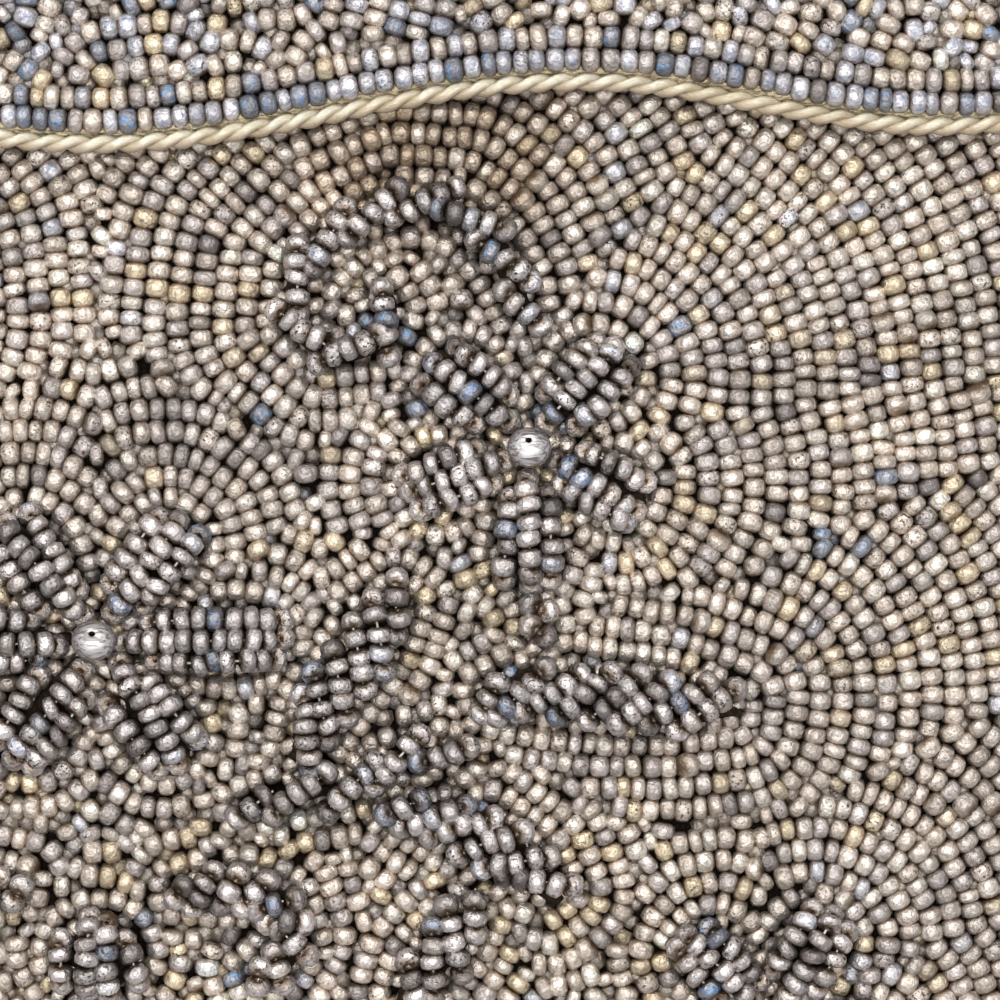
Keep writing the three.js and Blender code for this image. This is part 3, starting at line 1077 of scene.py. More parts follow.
def blurred(values: Array, times: int) -> Array:
    """Softens a map by averaging each point with its neighbours."""
    for _ in range(times):
        for axis in (0, 1):
            edge = np.pad(values, [(1, 1) if k == axis else (0, 0) for k in (0, 1)], "edge")
            before = edge.take(range(values.shape[axis]), axis)
            after = edge.take(range(2, values.shape[axis] + 2), axis)
            values = 0.5 * values + 0.25 * (before + after)
    return values


def read_map(values: Array, low: Array, step: float, places: Array) -> Array:
    """Reads a map between its grid points.

    Args:
        values: The map, a row for each step up the plan.
        low: The plan place of its first grid point.
        step: The distance between grid points.
        places: Where to read it.

    Returns:
        The value at each place.
    """
    grid = (places - low) / step
    rows, columns = values.shape
    column = grid[:, 0].clip(0, columns - 1.001)
    row = grid[:, 1].clip(0, rows - 1.001)
    i, j = row.astype(int), column.astype(int)
    u, v = column - j, row - i
    return ((1 - v) * ((1 - u) * values[i, j] + u * values[i, j + 1])
            + v * ((1 - u) * values[i + 1, j] + u * values[i + 1, j + 1]))


class Surface:
    """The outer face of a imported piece, as heights over the plan."""

    STEP = 0.0015

    def __init__(self, node: str) -> None:
        """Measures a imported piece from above.

        Args:
            node: The piece's name.
        """
        low, high = (np.array(corner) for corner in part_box(node))
        self.low = low[:2] - self.STEP
        counts = ((high[:2] - low[:2]) / self.STEP).astype(int) + 3
        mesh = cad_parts[node].data
        tree = BVHTree.FromPolygons([v.co for v in mesh.vertices],
                                    [tuple(face.vertices) for face in mesh.polygons])
        heights = np.full(counts[::-1], np.nan)
        for row in range(counts[1]):
            for column in range(counts[0]):
                x, y = self.low + self.STEP * np.array([column, row])
                hit = tree.ray_cast(Vector((x, y, high[2] + 0.01)), Vector((0, 0, -1)))[0]
                if hit:
                    heights[row, column] = hit.z
        self.heights = blurred(self.filled(heights), 2)

    @staticmethod
    def filled(heights: Array) -> Array:
        """Carries the heights at the edge of the piece outwards."""
        while np.isnan(heights).any():
            padded = np.pad(heights, 1, constant_values=np.nan)
            around = np.stack([padded[1:-1, :-2], padded[1:-1, 2:],
                               padded[:-2, 1:-1], padded[2:, 1:-1]])
            known = ~np.isnan(around)
            mean = np.nansum(around, 0) / np.maximum(known.sum(0), 1)
            empty = np.isnan(heights) & known.any(0)
            heights = np.where(empty, mean, heights)
        return heights

    def at(self, places: Array) -> Array:
        """Finds the height at places on the plan."""
        return read_map(self.heights, self.low, self.STEP, places)

    def points(self, places: Array, rise: float | Array = 0.0) -> Array:
        """Lifts places on the plan to the face, and further out by a rise."""
        return np.column_stack([places, self.at(places) + rise])

    def normals(self, places: Array) -> Array:
        """Finds the direction out of the face at places on the plan."""
        reach = 0.002
        slopes = [(self.at(places + step) - self.at(places - step)) / (2 * reach)
                  for step in (np.array([reach, 0]), np.array([0, reach]))]
        return unit(np.column_stack([-slopes[0], -slopes[1], np.ones(len(places))]))


# The purse's own sizes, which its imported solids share


@dataclass(frozen=True)
class Outline:
    """The flat outline of the purse and the wavy line of its flap."""

    half: float = 0.1075
    bottom: float = -0.075
    top: float = 0.075
    corner: float = 0.018
    fold: float = 0.0663
    crest: float = 0.0267
    crest_across: float = 0.0437
    centre_lobe: float = 0.0056
    side_lobe: float = 0.0038

    def half_width(self, y: Array) -> Array:
        """Finds half the width at a height."""
        below = (self.corner - (y - self.bottom)).clip(0, self.corner)
        return self.half - self.corner + np.sqrt(self.corner**2 - below**2)

    def hem(self, x: Array) -> Array:
        """Finds the height of the cord along the flap's edge."""
        across = np.abs(x)
        centre = self.centre_lobe * (0.5 + 0.5 * np.cos(math.pi * across / self.crest_across))
        along = (across - self.crest_across) / (self.half - self.crest_across)
        side = self.side_lobe * (0.5 - 0.5 * np.cos(2 * math.pi * along))
        return self.crest - np.where(across < self.crest_across, centre, side)

    def hem_line(self, rise: float, inset: float = 0.0012) -> Array:
        """Draws a line beside the flap's edge.

        Args:
            rise: How far up from the cord the line runs.
            inset: How far it stays from the sides.

        Returns:
            Points from left to right.
        """
        x = np.linspace(inset - self.half, self.half - inset, 500)
        slope = np.gradient(self.hem(x), x)
        tilt = 1 / np.sqrt(1 + slope**2)
        return np.column_stack([x - rise * slope * tilt, self.hem(x) + rise * tilt])

    def edge_line(self, inset: float, top: float) -> Array:
        """Draws the purse's outline down one side, along the bottom and up the other.

        Args:
            inset: How far inside the outline the line runs.
            top: The height where it starts and ends.

        Returns:
            Points from the top right to the top left.
        """
        turn = np.linspace(0, -math.pi / 2, 24)
        reach = self.corner - inset
        corner = np.column_stack([self.half - self.corner + reach * np.cos(turn),
                                  self.bottom + self.corner + reach * np.sin(turn)])
        right = np.vstack([[self.half - inset, top], corner])
        return np.vstack([right, right[::-1] * [-1, 1]])

    def inside(self, places: Array, inset: float) -> Array:
        """Says which places lie inside the outline by a margin."""
        room = self.half_width(places[:, 1]) - inset
        return (np.abs(places[:, 0]) < room) & (places[:, 1] > self.bottom + inset)


OUTLINE = Outline()


def in_view(places: Array) -> Array:
    """Says which places the photograph shows, with a little round them."""
    return (np.abs(places[:, :2] - VIEW_MIDDLE) < VIEW_SIZE / 2 + NEAR_MARGIN).all(1)


@dataclass(frozen=True)
class Drift:
    """A slow uneven change over the plan, made of a few crossing waves."""

    seed: int
    size: float

    def at(self, places: Array) -> Array:
        """Finds the change at places on the plan, mostly from -1 to 1."""
        chance = np.random.default_rng(self.seed)
        total = np.zeros(len(places))
        for _ in range(8):
            turn = chance.uniform(0, 2 * math.pi)
            wave = 2 * math.pi * chance.uniform(0.5, 1.7) / self.size
            way = np.array([math.cos(turn), math.sin(turn)])
            total += np.sin(wave * (places[:, :2] @ way) + chance.uniform(0, 2 * math.pi))
        return total / 2.6


@dataclass(frozen=True)
class Patch:
    """A round place on the front where the beads have another tone."""

    x: float
    y: float
    reach: float

    def share(self, places: Array) -> Array:
        """Finds how strongly the patch shows at places, from 0 to 1."""
        far = np.hypot(places[:, 0] - self.x, places[:, 1] - self.y) / self.reach
        return np.exp(-far**2)


GREY_PATCHES = (
    Patch(0.010, -0.006, 0.011), Patch(0.057, 0.001, 0.009), Patch(0.060, -0.028, 0.008),
    Patch(0.036, 0.008, 0.008), Patch(-0.030, -0.050, 0.014), Patch(-0.075, 0.000, 0.015),
    Patch(0.085, -0.045, 0.013),
)
BRONZE_PATCHES = (
    Patch(0.026, 0.0185, 0.007), Patch(0.036, 0.0205, 0.006), Patch(-0.040, 0.018, 0.012),
)
BLUE_BEADS = tuple(Patch(0.001 * x, 0.001 * y, 0.0010) for x, y in (
    (52.5, 4.7), (63.1, -26.1), (68.3, -15.0), (65.8, -14.2), (18.3, -10.6), (15.4, -2.4),
    (19.4, -34.8), (40.6, -2.5), (37.9, -26.3), (37.3, -28.9), (43.0, -8.1), (36.5, -12.6),
    (25.6, 5.6), (24.1, 5.2), (27.5, 3.9), (34.1, -38.3), (45.6, -28.3), (33.8, -0.9),
    (55.4, -49.9), (52.4, -28.2), (15.7, -46.8), (12.8, -53.6), (35.6, 11.5)))


@dataclass(frozen=True)
class Colouring:
    """The colours of a stretch of beads, how often each comes, and how worn they are."""

    shares: tuple[tuple[Shade, float], ...]
    wear: float = 0.4
    unevenness: float = 0.13
    patches: bool = True

    def tints(self, places: Array, chance: np.random.Generator) -> Array:
        """Picks a colour and a wear for each bead.

        Args:
            places: Where the beads are.
            chance: Makes the picks.

        Returns:
            Red, green, blue and wear for each bead.
        """
        count = len(places)
        odds = np.array([share for _, share in self.shares])
        colours = np.array([shade.value for shade, _ in self.shares])
        tints = colours[chance.choice(len(odds), count, p=odds / odds.sum())]
        light = chance.normal(1, self.unevenness, count) * (1 + 0.07 * Drift(5, 0.03).at(places))
        if self.patches:
            for patches, shade, depth in ((GREY_PATCHES, Shade.GREY, 0.75),
                                          (BRONZE_PATCHES, Shade.BRONZE, 0.8)):
                share = np.max([patch.share(places) for patch in patches], 0)
                share = (share * depth * chance.uniform(0.3, 1.3, count))[:, None].clip(0, 0.9)
                tints = tints * (1 - share) + np.array(shade.value) * share
        tints[np.max([spot.share(places) for spot in BLUE_BEADS], 0) > 0.4] = Shade.BLUE.value
        wear = (chance.gamma(2.2, self.wear / 2.2, count)).clip(0, 1)
        return np.column_stack([(tints * light[:, None]).clip(0.02, 0.93), wear])


GROUND_COLOURS = Colouring((
    (Shade.CHAMPAGNE, 0.50), (Shade.PALE, 0.20), (Shade.GOLD, 0.09), (Shade.GREY, 0.17),
    (Shade.BLUE, 0.002), (Shade.SILVER_BLUE, 0.014), (Shade.DARK, 0.02)))
FLAP_COLOURS = Colouring((
    (Shade.CHAMPAGNE, 0.34), (Shade.PALE, 0.12), (Shade.GOLD, 0.05), (Shade.GREY, 0.22),
    (Shade.BLUE, 0.05), (Shade.SILVER_BLUE, 0.20), (Shade.DARK, 0.02)), patches=False)
HEM_COLOURS = Colouring((
    (Shade.CHAMPAGNE, 0.10), (Shade.GREY, 0.10), (Shade.BLUE, 0.20),
    (Shade.SILVER_BLUE, 0.58), (Shade.DARK, 0.02)), wear=0.3, patches=False)
RELIEF_COLOURS = Colouring((
    (Shade.STEEL, 0.66), (Shade.GREY, 0.18), (Shade.DARK, 0.08), (Shade.BLUE, 0.02),
    (Shade.SILVER_BLUE, 0.06)), wear=0.6, unevenness=0.20, patches=False)


def sized(count: int, chance: np.random.Generator) -> Array:
    """Gives uneven lengths and widths for beads."""
    return np.column_stack([BEAD_LENGTH * chance.normal(0.99, 0.07, count),
                            BEAD_WIDTH * chance.normal(1.0, 0.03, count)])


def show(piece: bpy.types.Object, slot: str, *nodes: str) -> bpy.types.Object:
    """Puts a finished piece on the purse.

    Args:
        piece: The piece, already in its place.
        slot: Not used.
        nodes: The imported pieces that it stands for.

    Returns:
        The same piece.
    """
    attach(piece, "root")
    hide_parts(*nodes)
    LOG.info("%s: %d faces", piece.name, len(piece.data.polygons))
    return piece


# Raised work


@dataclass(frozen=True)
class Pad:
    """A raised piece as the line along its middle and its breadth on the way."""

    name: str
    line: Array
    breadth: Array

    def mirrored(self, name: str) -> "Pad":
        """Makes its twin on the other side of the middle line."""
        return Pad(name, self.line * [-1, 1], self.breadth)

    def smooth(self, step: float) -> tuple[Array, Array, Array]:
        """Draws the middle line finely.

        Args:
            step: The distance between its points.

        Returns:
            The points, the direction to their left, and the breadth there.
        """
        rows = smooth_curve(np.column_stack([self.line, self.breadth]), 12)
        count = max(int(length_of(rows[:, :2]) / step), 3)
        reach = np.concatenate([[0], np.cumsum(np.linalg.norm(np.diff(rows[:, :2], axis=0),
                                                              axis=1))])
        places = np.linspace(0, reach[-1], count)
        rows = np.stack([np.interp(places, reach, rows[:, k]) for k in range(3)], 1)
        way = unit(np.gradient(rows[:, :2], axis=0))
        return rows[:, :2], np.column_stack([-way[:, 1], way[:, 0]]), rows[:, 2]


class Stitch(Enum):
    """How the strings lie over a raised pad: how steeply they cross it, in degrees."""

    ALONG = 0
    LOW = 24
    SLANTED = 42
    STEEP = 58


@dataclass(frozen=True)
class Spray:
    """A raised leaf, stem, scroll, hook or bud, by sections along it.

    Each section is a share of half the purse's width, a share of its height from the
    bottom, and a share of the spray's own breadth.
    """

    name: str
    breadth: float
    stitch: Stitch
    sections: tuple[tuple[float, float, float], ...]

    def pad(self) -> Pad:
        """Gives its place and breadth in metres, as on the right half of the purse."""
        rows = np.array(self.sections)
        height = OUTLINE.top - OUTLINE.bottom
        line = np.column_stack([rows[:, 0] * OUTLINE.half, OUTLINE.bottom + rows[:, 1] * height])
        return Pad(self.name, line, rows[:, 2] * self.breadth)


SPRAYS = (
    Spray("scroll", 0.0038, Stitch.LOW, (
        (0.362, 0.529, 0.5), (0.352, 0.556, 0.9), (0.331, 0.582, 1.0), (0.299, 0.601, 1.0),
        (0.254, 0.605, 0.9), (0.207, 0.590, 1.0), (0.173, 0.565, 1.0), (0.168, 0.538, 1.0),
        (0.195, 0.520, 1.0), (0.231, 0.523, 0.9), (0.246, 0.543, 0.8), (0.231, 0.561, 0.5))),
    Spray("outer_leaf", 0.0070, Stitch.SLANTED, (
        (0.318, 0.309, 0.4), (0.352, 0.313, 0.85), (0.421, 0.311, 1.0), (0.480, 0.307, 0.85),
        (0.540, 0.301, 0.35))),
    Spray("inner_leaf", 0.0070, Stitch.SLANTED, (
        (0.260, 0.372, 0.35), (0.235, 0.347, 0.75), (0.205, 0.320, 0.8), (0.183, 0.296, 0.7),
        (0.164, 0.273, 0.35))),
    Spray("tendril", 0.0027, Stitch.LOW, (
        (0.312, 0.275, 0.7), (0.279, 0.278, 1.0), (0.243, 0.269, 1.0), (0.211, 0.256, 1.0),
        (0.170, 0.252, 1.0), (0.115, 0.242, 0.7))),
    Spray("lower_leaf", 0.0070, Stitch.SLANTED, (
        (0.245, 0.247, 0.3), (0.277, 0.240, 0.7), (0.321, 0.227, 0.95), (0.360, 0.207, 0.85),
        (0.387, 0.186, 0.4))),
    Spray("small_leaf", 0.0070, Stitch.SLANTED, (
        (0.325, 0.185, 0.35), (0.300, 0.166, 0.7), (0.276, 0.145, 0.75), (0.254, 0.124, 0.35))),
    Spray("hook", 0.0038, Stitch.STEEP, (
        (0.061, 0.193, 0.6), (0.095, 0.194, 0.9), (0.126, 0.195, 1.0), (0.154, 0.185, 1.0),
        (0.164, 0.165, 0.9), (0.150, 0.146, 0.9), (0.124, 0.138, 0.6))),
    Spray("stem", 0.0027, Stitch.STEEP, (
        (0.367, 0.371, 0.8), (0.372, 0.357, 1.0), (0.3685, 0.3425, 0.8))),
)
BUD = Spray("middle_bud", 0.0090, Stitch.ALONG, (
    (0.0, 0.180, 0.35), (0.0, 0.168, 0.85), (0.0, 0.154, 1.0), (0.0, 0.142, 0.85),
    (0.0, 0.130, 0.35)))


@dataclass(frozen=True)
class Petal:
    """One petal: the way it points in degrees, and its reach as a share of the flower's."""

    name: str
    turn: float
    reach: float


@dataclass(frozen=True)
class Flower:
    """A flower of petals round an oval silver bead."""

    name: str
    across: float
    up: float
    petals: tuple[Petal, ...]
    radius: float = 0.012
    root: float = 0.0032
    tuck: float = 0.0010
    breadth: float = 0.0072

    def middle(self) -> Array:
        """Finds the middle of the flower on the plan."""
        height = OUTLINE.top - OUTLINE.bottom
        return np.array([self.across * OUTLINE.half, OUTLINE.bottom + self.up * height])

    def pads(self) -> list[Pad]:
        """Gives the place and breadth of each petal."""
        pads = []
        shares = np.array([(0, 0.36), (0.3, 0.72), (0.62, 1.0), (0.88, 0.8), (1, 0.36)])
        for petal in self.petals:
            turn = math.radians(petal.turn)
            out = self.root + (self.radius * petal.reach - self.root) * shares[:, 0:1]
            out[0] -= self.tuck
            line = self.middle() + out * [math.cos(turn), math.sin(turn)]
            pads.append(Pad(f"{self.name}_petal_{petal.name}", line, shares[:, 1] * self.breadth))
        return pads


SIDE_FLOWERS = (
    Flower("flower", 0.362, 0.460, (
        Petal("inner_upper", 136, 1), Petal("outer_upper", 48, 1),
        Petal("outer_lower", 332, 0.97), Petal("lower", 270, 1.07),
        Petal("inner_lower", 203, 0.99))),
    Flower("low_flower", 0.567, 0.111, (
        Petal("inner_upper", 130, 0.97), Petal("outer_upper", 62, 0.97),
        Petal("outer", 350, 0.95), Petal("lower", 278, 0.93), Petal("inner", 206, 0.95))),
)
MIDDLE_FLOWER = Flower("middle_flower", 0, 0.345, (
    Petal("right", 0, 1.46), Petal("upper_right", 53, 1.14), Petal("upper_left", 127, 1.14),
    Petal("left", 180, 1.46), Petal("lower_left", 235, 1.14), Petal("lower_right", 305, 1.14)))


@dataclass
class RaisedWork:
    """Strings of grey beads sewn over padding: petals, leaves, stems, scrolls and buds."""

    face: Surface
    seed: int = 31
    rise: float = 0.00220
    seat: float = -0.00060
    thread_width: float = 0.00022
    core_drop: float = 0.00165
    beads: Beads = field(default_factory=Beads)
    threads: list[Array] = field(default_factory=list)

    def build(self) -> None:
        """Strings every raised piece, and dresses beads, threads and padding."""
        chance = np.random.default_rng(self.seed)
        nodes: list[str] = []
        pads: list[Pad] = []
        for spray in SPRAYS:
            for pad in self.pair(spray.pad()):
                self.sew(pad, spray.stitch, chance)
                pads.append(pad)
        for flower in SIDE_FLOWERS:
            for petal in flower.pads():
                for pad in self.pair(petal):
                    self.sew(pad, Stitch.ALONG, chance)
                    pads.append(pad)
        for pad in (BUD.pad(), *MIDDLE_FLOWER.pads()):
            self.sew(pad, Stitch.ALONG, chance)
            pads.append(pad)
        nodes = [pad.name for pad in pads]
        near, far = self.beads.split(in_view)
        show(near.joined("raised_beads", FORMS[Detail.STRUNG].model(), RELIEF_BEADS),
             "relief_beads", *nodes)
        show(far.joined("raised_beads_beyond", FORMS[Detail.FAR].model(), RELIEF_BEADS),
             "relief_beads")
        show(self.thread_piece(), "relief_beads")
        padding = show(self.core(pads), "relief_beads")

    @staticmethod
    def pair(pad: Pad) -> tuple[Pad, Pad]:
        """Gives a pad and its twin, named by their sides."""
        return (Pad(f"{pad.name}_right", pad.line, pad.breadth), pad.mirrored(f"{pad.name}_left"))

    def sew(self, pad: Pad, stitch: Stitch, chance: np.random.Generator) -> None:
        """Lays strings of beads over a pad.

        Args:
            pad: The pad.
            stitch: How its strings cross it.
            chance: Makes them uneven.
        """
        if stitch is Stitch.ALONG:
            self.lengthwise(pad, chance)
        else:
            self.crosswise(pad, math.radians(stitch.value), chance)

    def lengthwise(self, pad: Pad, chance: np.random.Generator) -> None:
        """Runs strings from one end of a pad to the other, the outer ones shorter.

        Args:
            pad: The pad.
            chance: Makes them uneven.
        """
        line, left, breadth = pad.smooth(0.0004)
        widest = breadth.max()
        count = max(round(widest / BEAD_WIDTH + 0.3), 1)
        share = np.linspace(0, 1, len(line))
        gather = 0.72 + 0.28 * (share / 0.45).clip(0, 1)
        for offset in (np.arange(count) - (count - 1) / 2) * BEAD_WIDTH * 0.90:
            offset = offset + chance.normal(0, 0.00018)
            outness = abs(offset) / (0.5 * widest)
            start = 0.46 * outness**1.5 + chance.uniform(-0.03, 0.03)
            end = 1 - 0.14 * outness**2 + chance.uniform(-0.03, 0.02)
            kept = (share >= start) & (share <= end)
            if kept.sum() < 5:
                continue
            local = np.linspace(0, 1, kept.sum())
            arch = (1 - np.abs(2 * local - 1) ** 3.4) ** 0.55
            cross = math.sqrt(max(1 - (offset / (0.5 * widest + 0.0005)) ** 2, 0.05))
            lean = chance.normal(0, 0.0005) * (local - 0.5)
            plan = line[kept] + left[kept] * (offset * gather[kept] + lean)[:, None]
            height = self.rise + chance.normal(0, 0.00028)
            self.string(plan, self.seat + height * arch * cross, chance)

    def crosswise(self, pad: Pad, slant: float, chance: np.random.Generator) -> None:
        """Lays short slanting strings side by side along a pad.

        Args:
            pad: The pad.
            slant: The angle between the strings and the pad's middle line.
            chance: Makes them uneven.
        """
        line, left, breadth = pad.smooth(0.0002)
        spacing = 0.82 * BEAD_WIDTH / math.sin(slant)
        reach = length_of(line)
        places = np.arange(0.5 * spacing, reach - 0.3 * spacing, spacing)
        for place in places + chance.normal(0, 0.00012, len(places)):
            at = int(np.clip(place / reach * (len(line) - 1), 0, len(line) - 1))
            side, room = left[at], breadth[at]
            ahead = np.array([side[1], -side[0]])
            turn = slant + chance.normal(0, 0.08)
            way = math.cos(turn) * ahead + math.sin(turn) * side
            ahead_room = 2 * (min(place, reach - place) + 0.0004) / math.cos(slant)
            long = min(room / math.sin(slant) + 0.0004, 0.0075, ahead_room)
            long = max(long, 1.9 * BEAD_LENGTH)
            beads = max(round(long / BEAD_LENGTH), 2)
            along = np.linspace(-0.5, 0.5, 4 * beads) * beads * BEAD_LENGTH
            plan = line[at] + way * along[:, None] + side * chance.normal(0, 0.00012)
            off = np.abs(along) * math.sin(slant) / (0.5 * max(room, 0.0026) + 0.0006)
            full = self.rise * min(room / 0.0027, 1) + chance.normal(0, 0.00016)
            self.string(plan, self.seat + full * np.sqrt((1 - off**2).clip(0, 1)), chance)

    def string(self, plan: Array, rise: Array, chance: np.random.Generator) -> None:
        """Strings beads along a line over the front.

        Args:
            plan: The line's points on the plan.
            rise: How high each point is over the front's face.
            chance: Makes the beads uneven.
        """
        line = self.face.points(plan, rise)
        reach = length_of(line)
        count = max(round(reach / BEAD_LENGTH), 1)
        places = (np.arange(count) + 0.5) * reach / count
        middles = along_line(line, places)
        ways = along_line(line, places + 0.0004) - along_line(line, places - 0.0004)
        ways = unit(ways) + chance.normal(0, 0.17, (count, 3))
        ways[[0, -1], 2] += [0.75, -0.75]
        sizes = sized(count, chance) * [min(reach / count / BEAD_LENGTH, 1.08), 1.03]
        middles = middles + chance.normal(0, 0.00009, middles.shape)
        tints = RELIEF_COLOURS.tints(middles, chance)
        self.beads.add(middles, ways, self.face.normals(middles[:, :2]), sizes, tints)
        ends = line[[0, -1]] + unit(line[[0, -1]] - line[[1, -2]]) * 0.0001
        sunk = ends - [0, 0, 0.0011]
        self.threads.append(np.vstack([sunk[:1], ends[:1], line[::2], ends[1:], sunk[1:]]))

    def thread_piece(self) -> bpy.types.Object:
        """Makes the threads that run through the strings.

        Returns:
            The joined threads.
        """
        points, faces = [], []
        for line in self.threads:
            kept = line[in_view(line)]
            if len(kept) < 4:
                continue
            rings = tube_points(kept, 0.5 * self.thread_width, 4)
            faces.extend(tube_faces(len(kept), 4, sum(len(part) for part in points)))
            points.append(rings)
        return mesh_piece("raised_threads", np.vstack(points), faces, THREAD)

    def core(self, pads: list[Pad]) -> bpy.types.Object:
        """Makes the padding under the strings.

        Args:
            pads: All the raised pieces.

        Returns:
            The joined padding.
        """
        points, faces = [], []
        for pad in pads:
            line, left, breadth = pad.smooth(0.0011)
            angles = np.linspace(0, math.pi, 7)
            for at in range(len(line)):
                half = max(0.5 * breadth[at] - 0.0006, 0.0004)
                place = line[at] + left[at] * (half * np.cos(angles))[:, None]
                height = self.rise * min(breadth[at] / 0.0027, 1) * 0.68 + 0.0006
                points.append(self.face.points(place, height * np.sin(angles) - self.core_drop))
            faces.extend(tube_faces(len(line), 7, sum(len(part) for part in points)
                                    - 7 * len(line)))
        piece = mesh_piece("raised_padding", np.vstack(points), faces, FELT)
        bpy.context.view_layer.objects.active = piece
        bpy.ops.object.mode_set(mode="EDIT")
        bpy.ops.mesh.select_all(action="SELECT")
        bpy.ops.mesh.normals_make_consistent(inside=False)
        bpy.ops.object.mode_set(mode="OBJECT")
        return piece


def tube_points(line: Array, radius: float | Array, sides: int, turn: Array | float = 0.0,
                ) -> Array:
    """Puts rings of points round a line.

    Args:
        line: The points of the line.
        radius: The radius of the rings.
        sides: How many points a ring has.
        turn: How far each ring is turned.

    Returns:
        The points, ring after ring.
    """
    way = unit(np.gradient(line, axis=0))
    side = unit(np.cross(way, [0.05, 0.02, 1.0]))
    top = np.cross(side, way)
    angle = np.linspace(0, 2 * math.pi, sides, endpoint=False) + np.atleast_1d(turn)[:, None]
    reach = np.atleast_1d(radius)[:, None]
    rings = (line[:, None, :]
             + (reach * np.cos(angle))[:, :, None] * side[:, None, :]
             + (reach * np.sin(angle))[:, :, None] * top[:, None, :])
    return rings.reshape(-1, 3)


# Ground


@dataclass
class FrontPanel:
    """The domed front: rows of champagne beads that echo the raised work, on cloth."""

    face: Surface
    raised: tuple[str, ...]
    strings: Beads
    seed: int = 11
    step: float = 0.00035
    tuck: float = 0.0028
    edge: float = 0.0010
    hidden_depth: float = 0.00042
    proud_share: float = 0.04

    def build(self) -> None:
        """Beads the front and dresses it."""
        chance = np.random.default_rng(self.seed)
        bed = Bed()
        sewn = self.strings.stacked()
        rise = sewn[0][:, 2] - self.face.at(sewn[0][:, :2])
        kept = bed.reserve(sewn, np.where(rise > 0.0007, 0.58, 0.84))
        settled = self.lay(bed, chance) - kept
        rows = np.array(bed.places)[kept:]
        beads = Beads()
        places = rows[:, :2]
        count = len(rows)
        ups = self.face.normals(places)
        proud = chance.random(count) < self.proud_share
        sunk = chance.normal(0, 0.00009, count) - 0.5 * BEAD_WIDTH + 0.0004 * proud
        sunk[settled:] = -0.5 * BEAD_WIDTH - self.hidden_depth
        ways = np.column_stack([rows[:, 2:4], np.zeros(count)])
        ways = ways - ups * (ways * ups).sum(1, keepdims=True)
        ways = unit(ways) + ups * (chance.normal(0, 1, count) * (0.08 + 0.4 * proud))[:, None]
        tints = GROUND_COLOURS.tints(places, chance)
        # painted shade: the half-hidden beads are darkened
        tints[settled:, :3] *= HIDDEN_PAINTED_SHADE
        beads.add(self.face.points(places) + ups * sunk[:, None], ways, ups, rows[:, 4:6], tints)
        beads, under = beads.parted(np.arange(count) < settled)
        near, far = beads.split(in_view)
        low, high = near.split(lambda middles: middles[:, 1] < VIEW_MIDDLE[1] - 0.004)
        pattern = FORMS[Detail.NEAR].model()
        show(low.joined("front_beads_low", pattern, GROUND_BEADS), "beaded_cloth", "front_panel")
        show(high.joined("front_beads_high", pattern, GROUND_BEADS), "beaded_cloth")
        for name, part in (("front_beads_beyond", far), ("front_beads_under", under)):
            show(part.joined(name, FORMS[Detail.FAR].model(), GROUND_BEADS), "beaded_cloth")
        self.cloth()

    def lay(self, bed: Bed, chance: np.random.Generator) -> int:
        """Lays the rows of beads on the plan.

        Args:
            bed: Where they are laid, round the raised work.
            chance: Makes them uneven.

        Returns:
            How many places are taken before the last beads, which lie half hidden.
        """
        for inset in (self.edge, self.edge + ROW_PITCH):
            bed.thread(OUTLINE.edge_line(inset, 0.028), chance)
        away = self.away()
        for row in range(40):
            for line in away.lines((row + 0.5) * ROW_PITCH):
                for part in runs(line, self.open(line)):
                    bed.thread(part, chance)
        bed.fill(away, self.open, chance)
        settled = len(bed.places)
        bed.fill(away, self.open, chance, snug=0.61)
        return settled

    def open(self, places: Array) -> Array:
        """Says which places the ground beads cover."""
        below = places[:, 1] < OUTLINE.hem(places[:, 0]) + self.tuck
        return below & OUTLINE.inside(places, self.edge - 0.0001)

    def away(self) -> Contours:
        """Maps how far each place is from the raised work.

        Returns:
            The map, with a little drift so that the rows sway.
        """
        corners, triangles = [], []
        for node in self.raised:
            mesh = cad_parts[node].data
            first = len(corners)
            corners.extend(Vector((v.co.x, v.co.y, 0)) for v in mesh.vertices)
            triangles.extend(tuple(first + i for i in face.vertices) for face in mesh.polygons)
        tree = BVHTree.FromPolygons(corners, triangles)
        low = np.array([-OUTLINE.half, OUTLINE.bottom])
        counts = (np.array([2 * OUTLINE.half, 0.03 - OUTLINE.bottom]) / self.step).astype(int) + 2
        heights = np.zeros(counts[::-1])
        for row in range(counts[1]):
            for column in range(counts[0]):
                x, y = low + self.step * np.array([column, row])
                heights[row, column] = tree.find_nearest(Vector((x, y, 0)))[3]
        plan = Contours(low, self.step, heights)
        sway = Drift(self.seed, 0.045).at(plan.points().reshape(-1, 2)).reshape(heights.shape)
        plan.heights = blurred(heights, 2) + 0.0003 * sway * (heights / 0.004).clip(0, 1)
        return plan

    def cloth(self) -> None:
        """Makes the cloth under the front's beads."""
        mouth = 0.062
        turn = np.linspace(0, math.pi / 2, 8)
        rise = OUTLINE.bottom + 0.0004 + OUTLINE.corner * (1 - np.cos(turn))
        rows = np.concatenate([rise, np.linspace(rise[-1], mouth, 40)[1:]])
        share = np.linspace(-1, 1, 71)
        faces = []
        for depth in (CLOTH_DEPTH, CLOTH_DEPTH + CLOTH_THICKNESS):
            grid = [np.column_stack([share * (OUTLINE.half_width(np.array([y])) - 0.0004),
                                     np.full(len(share), y)]) for y in rows]
            faces.append(self.face.points(np.vstack(grid), -depth))
        piece = mesh_piece("front_cloth", np.vstack(faces), slab_faces(len(rows), len(share)),
                           CLOTH)
        show(piece, "beaded_cloth")


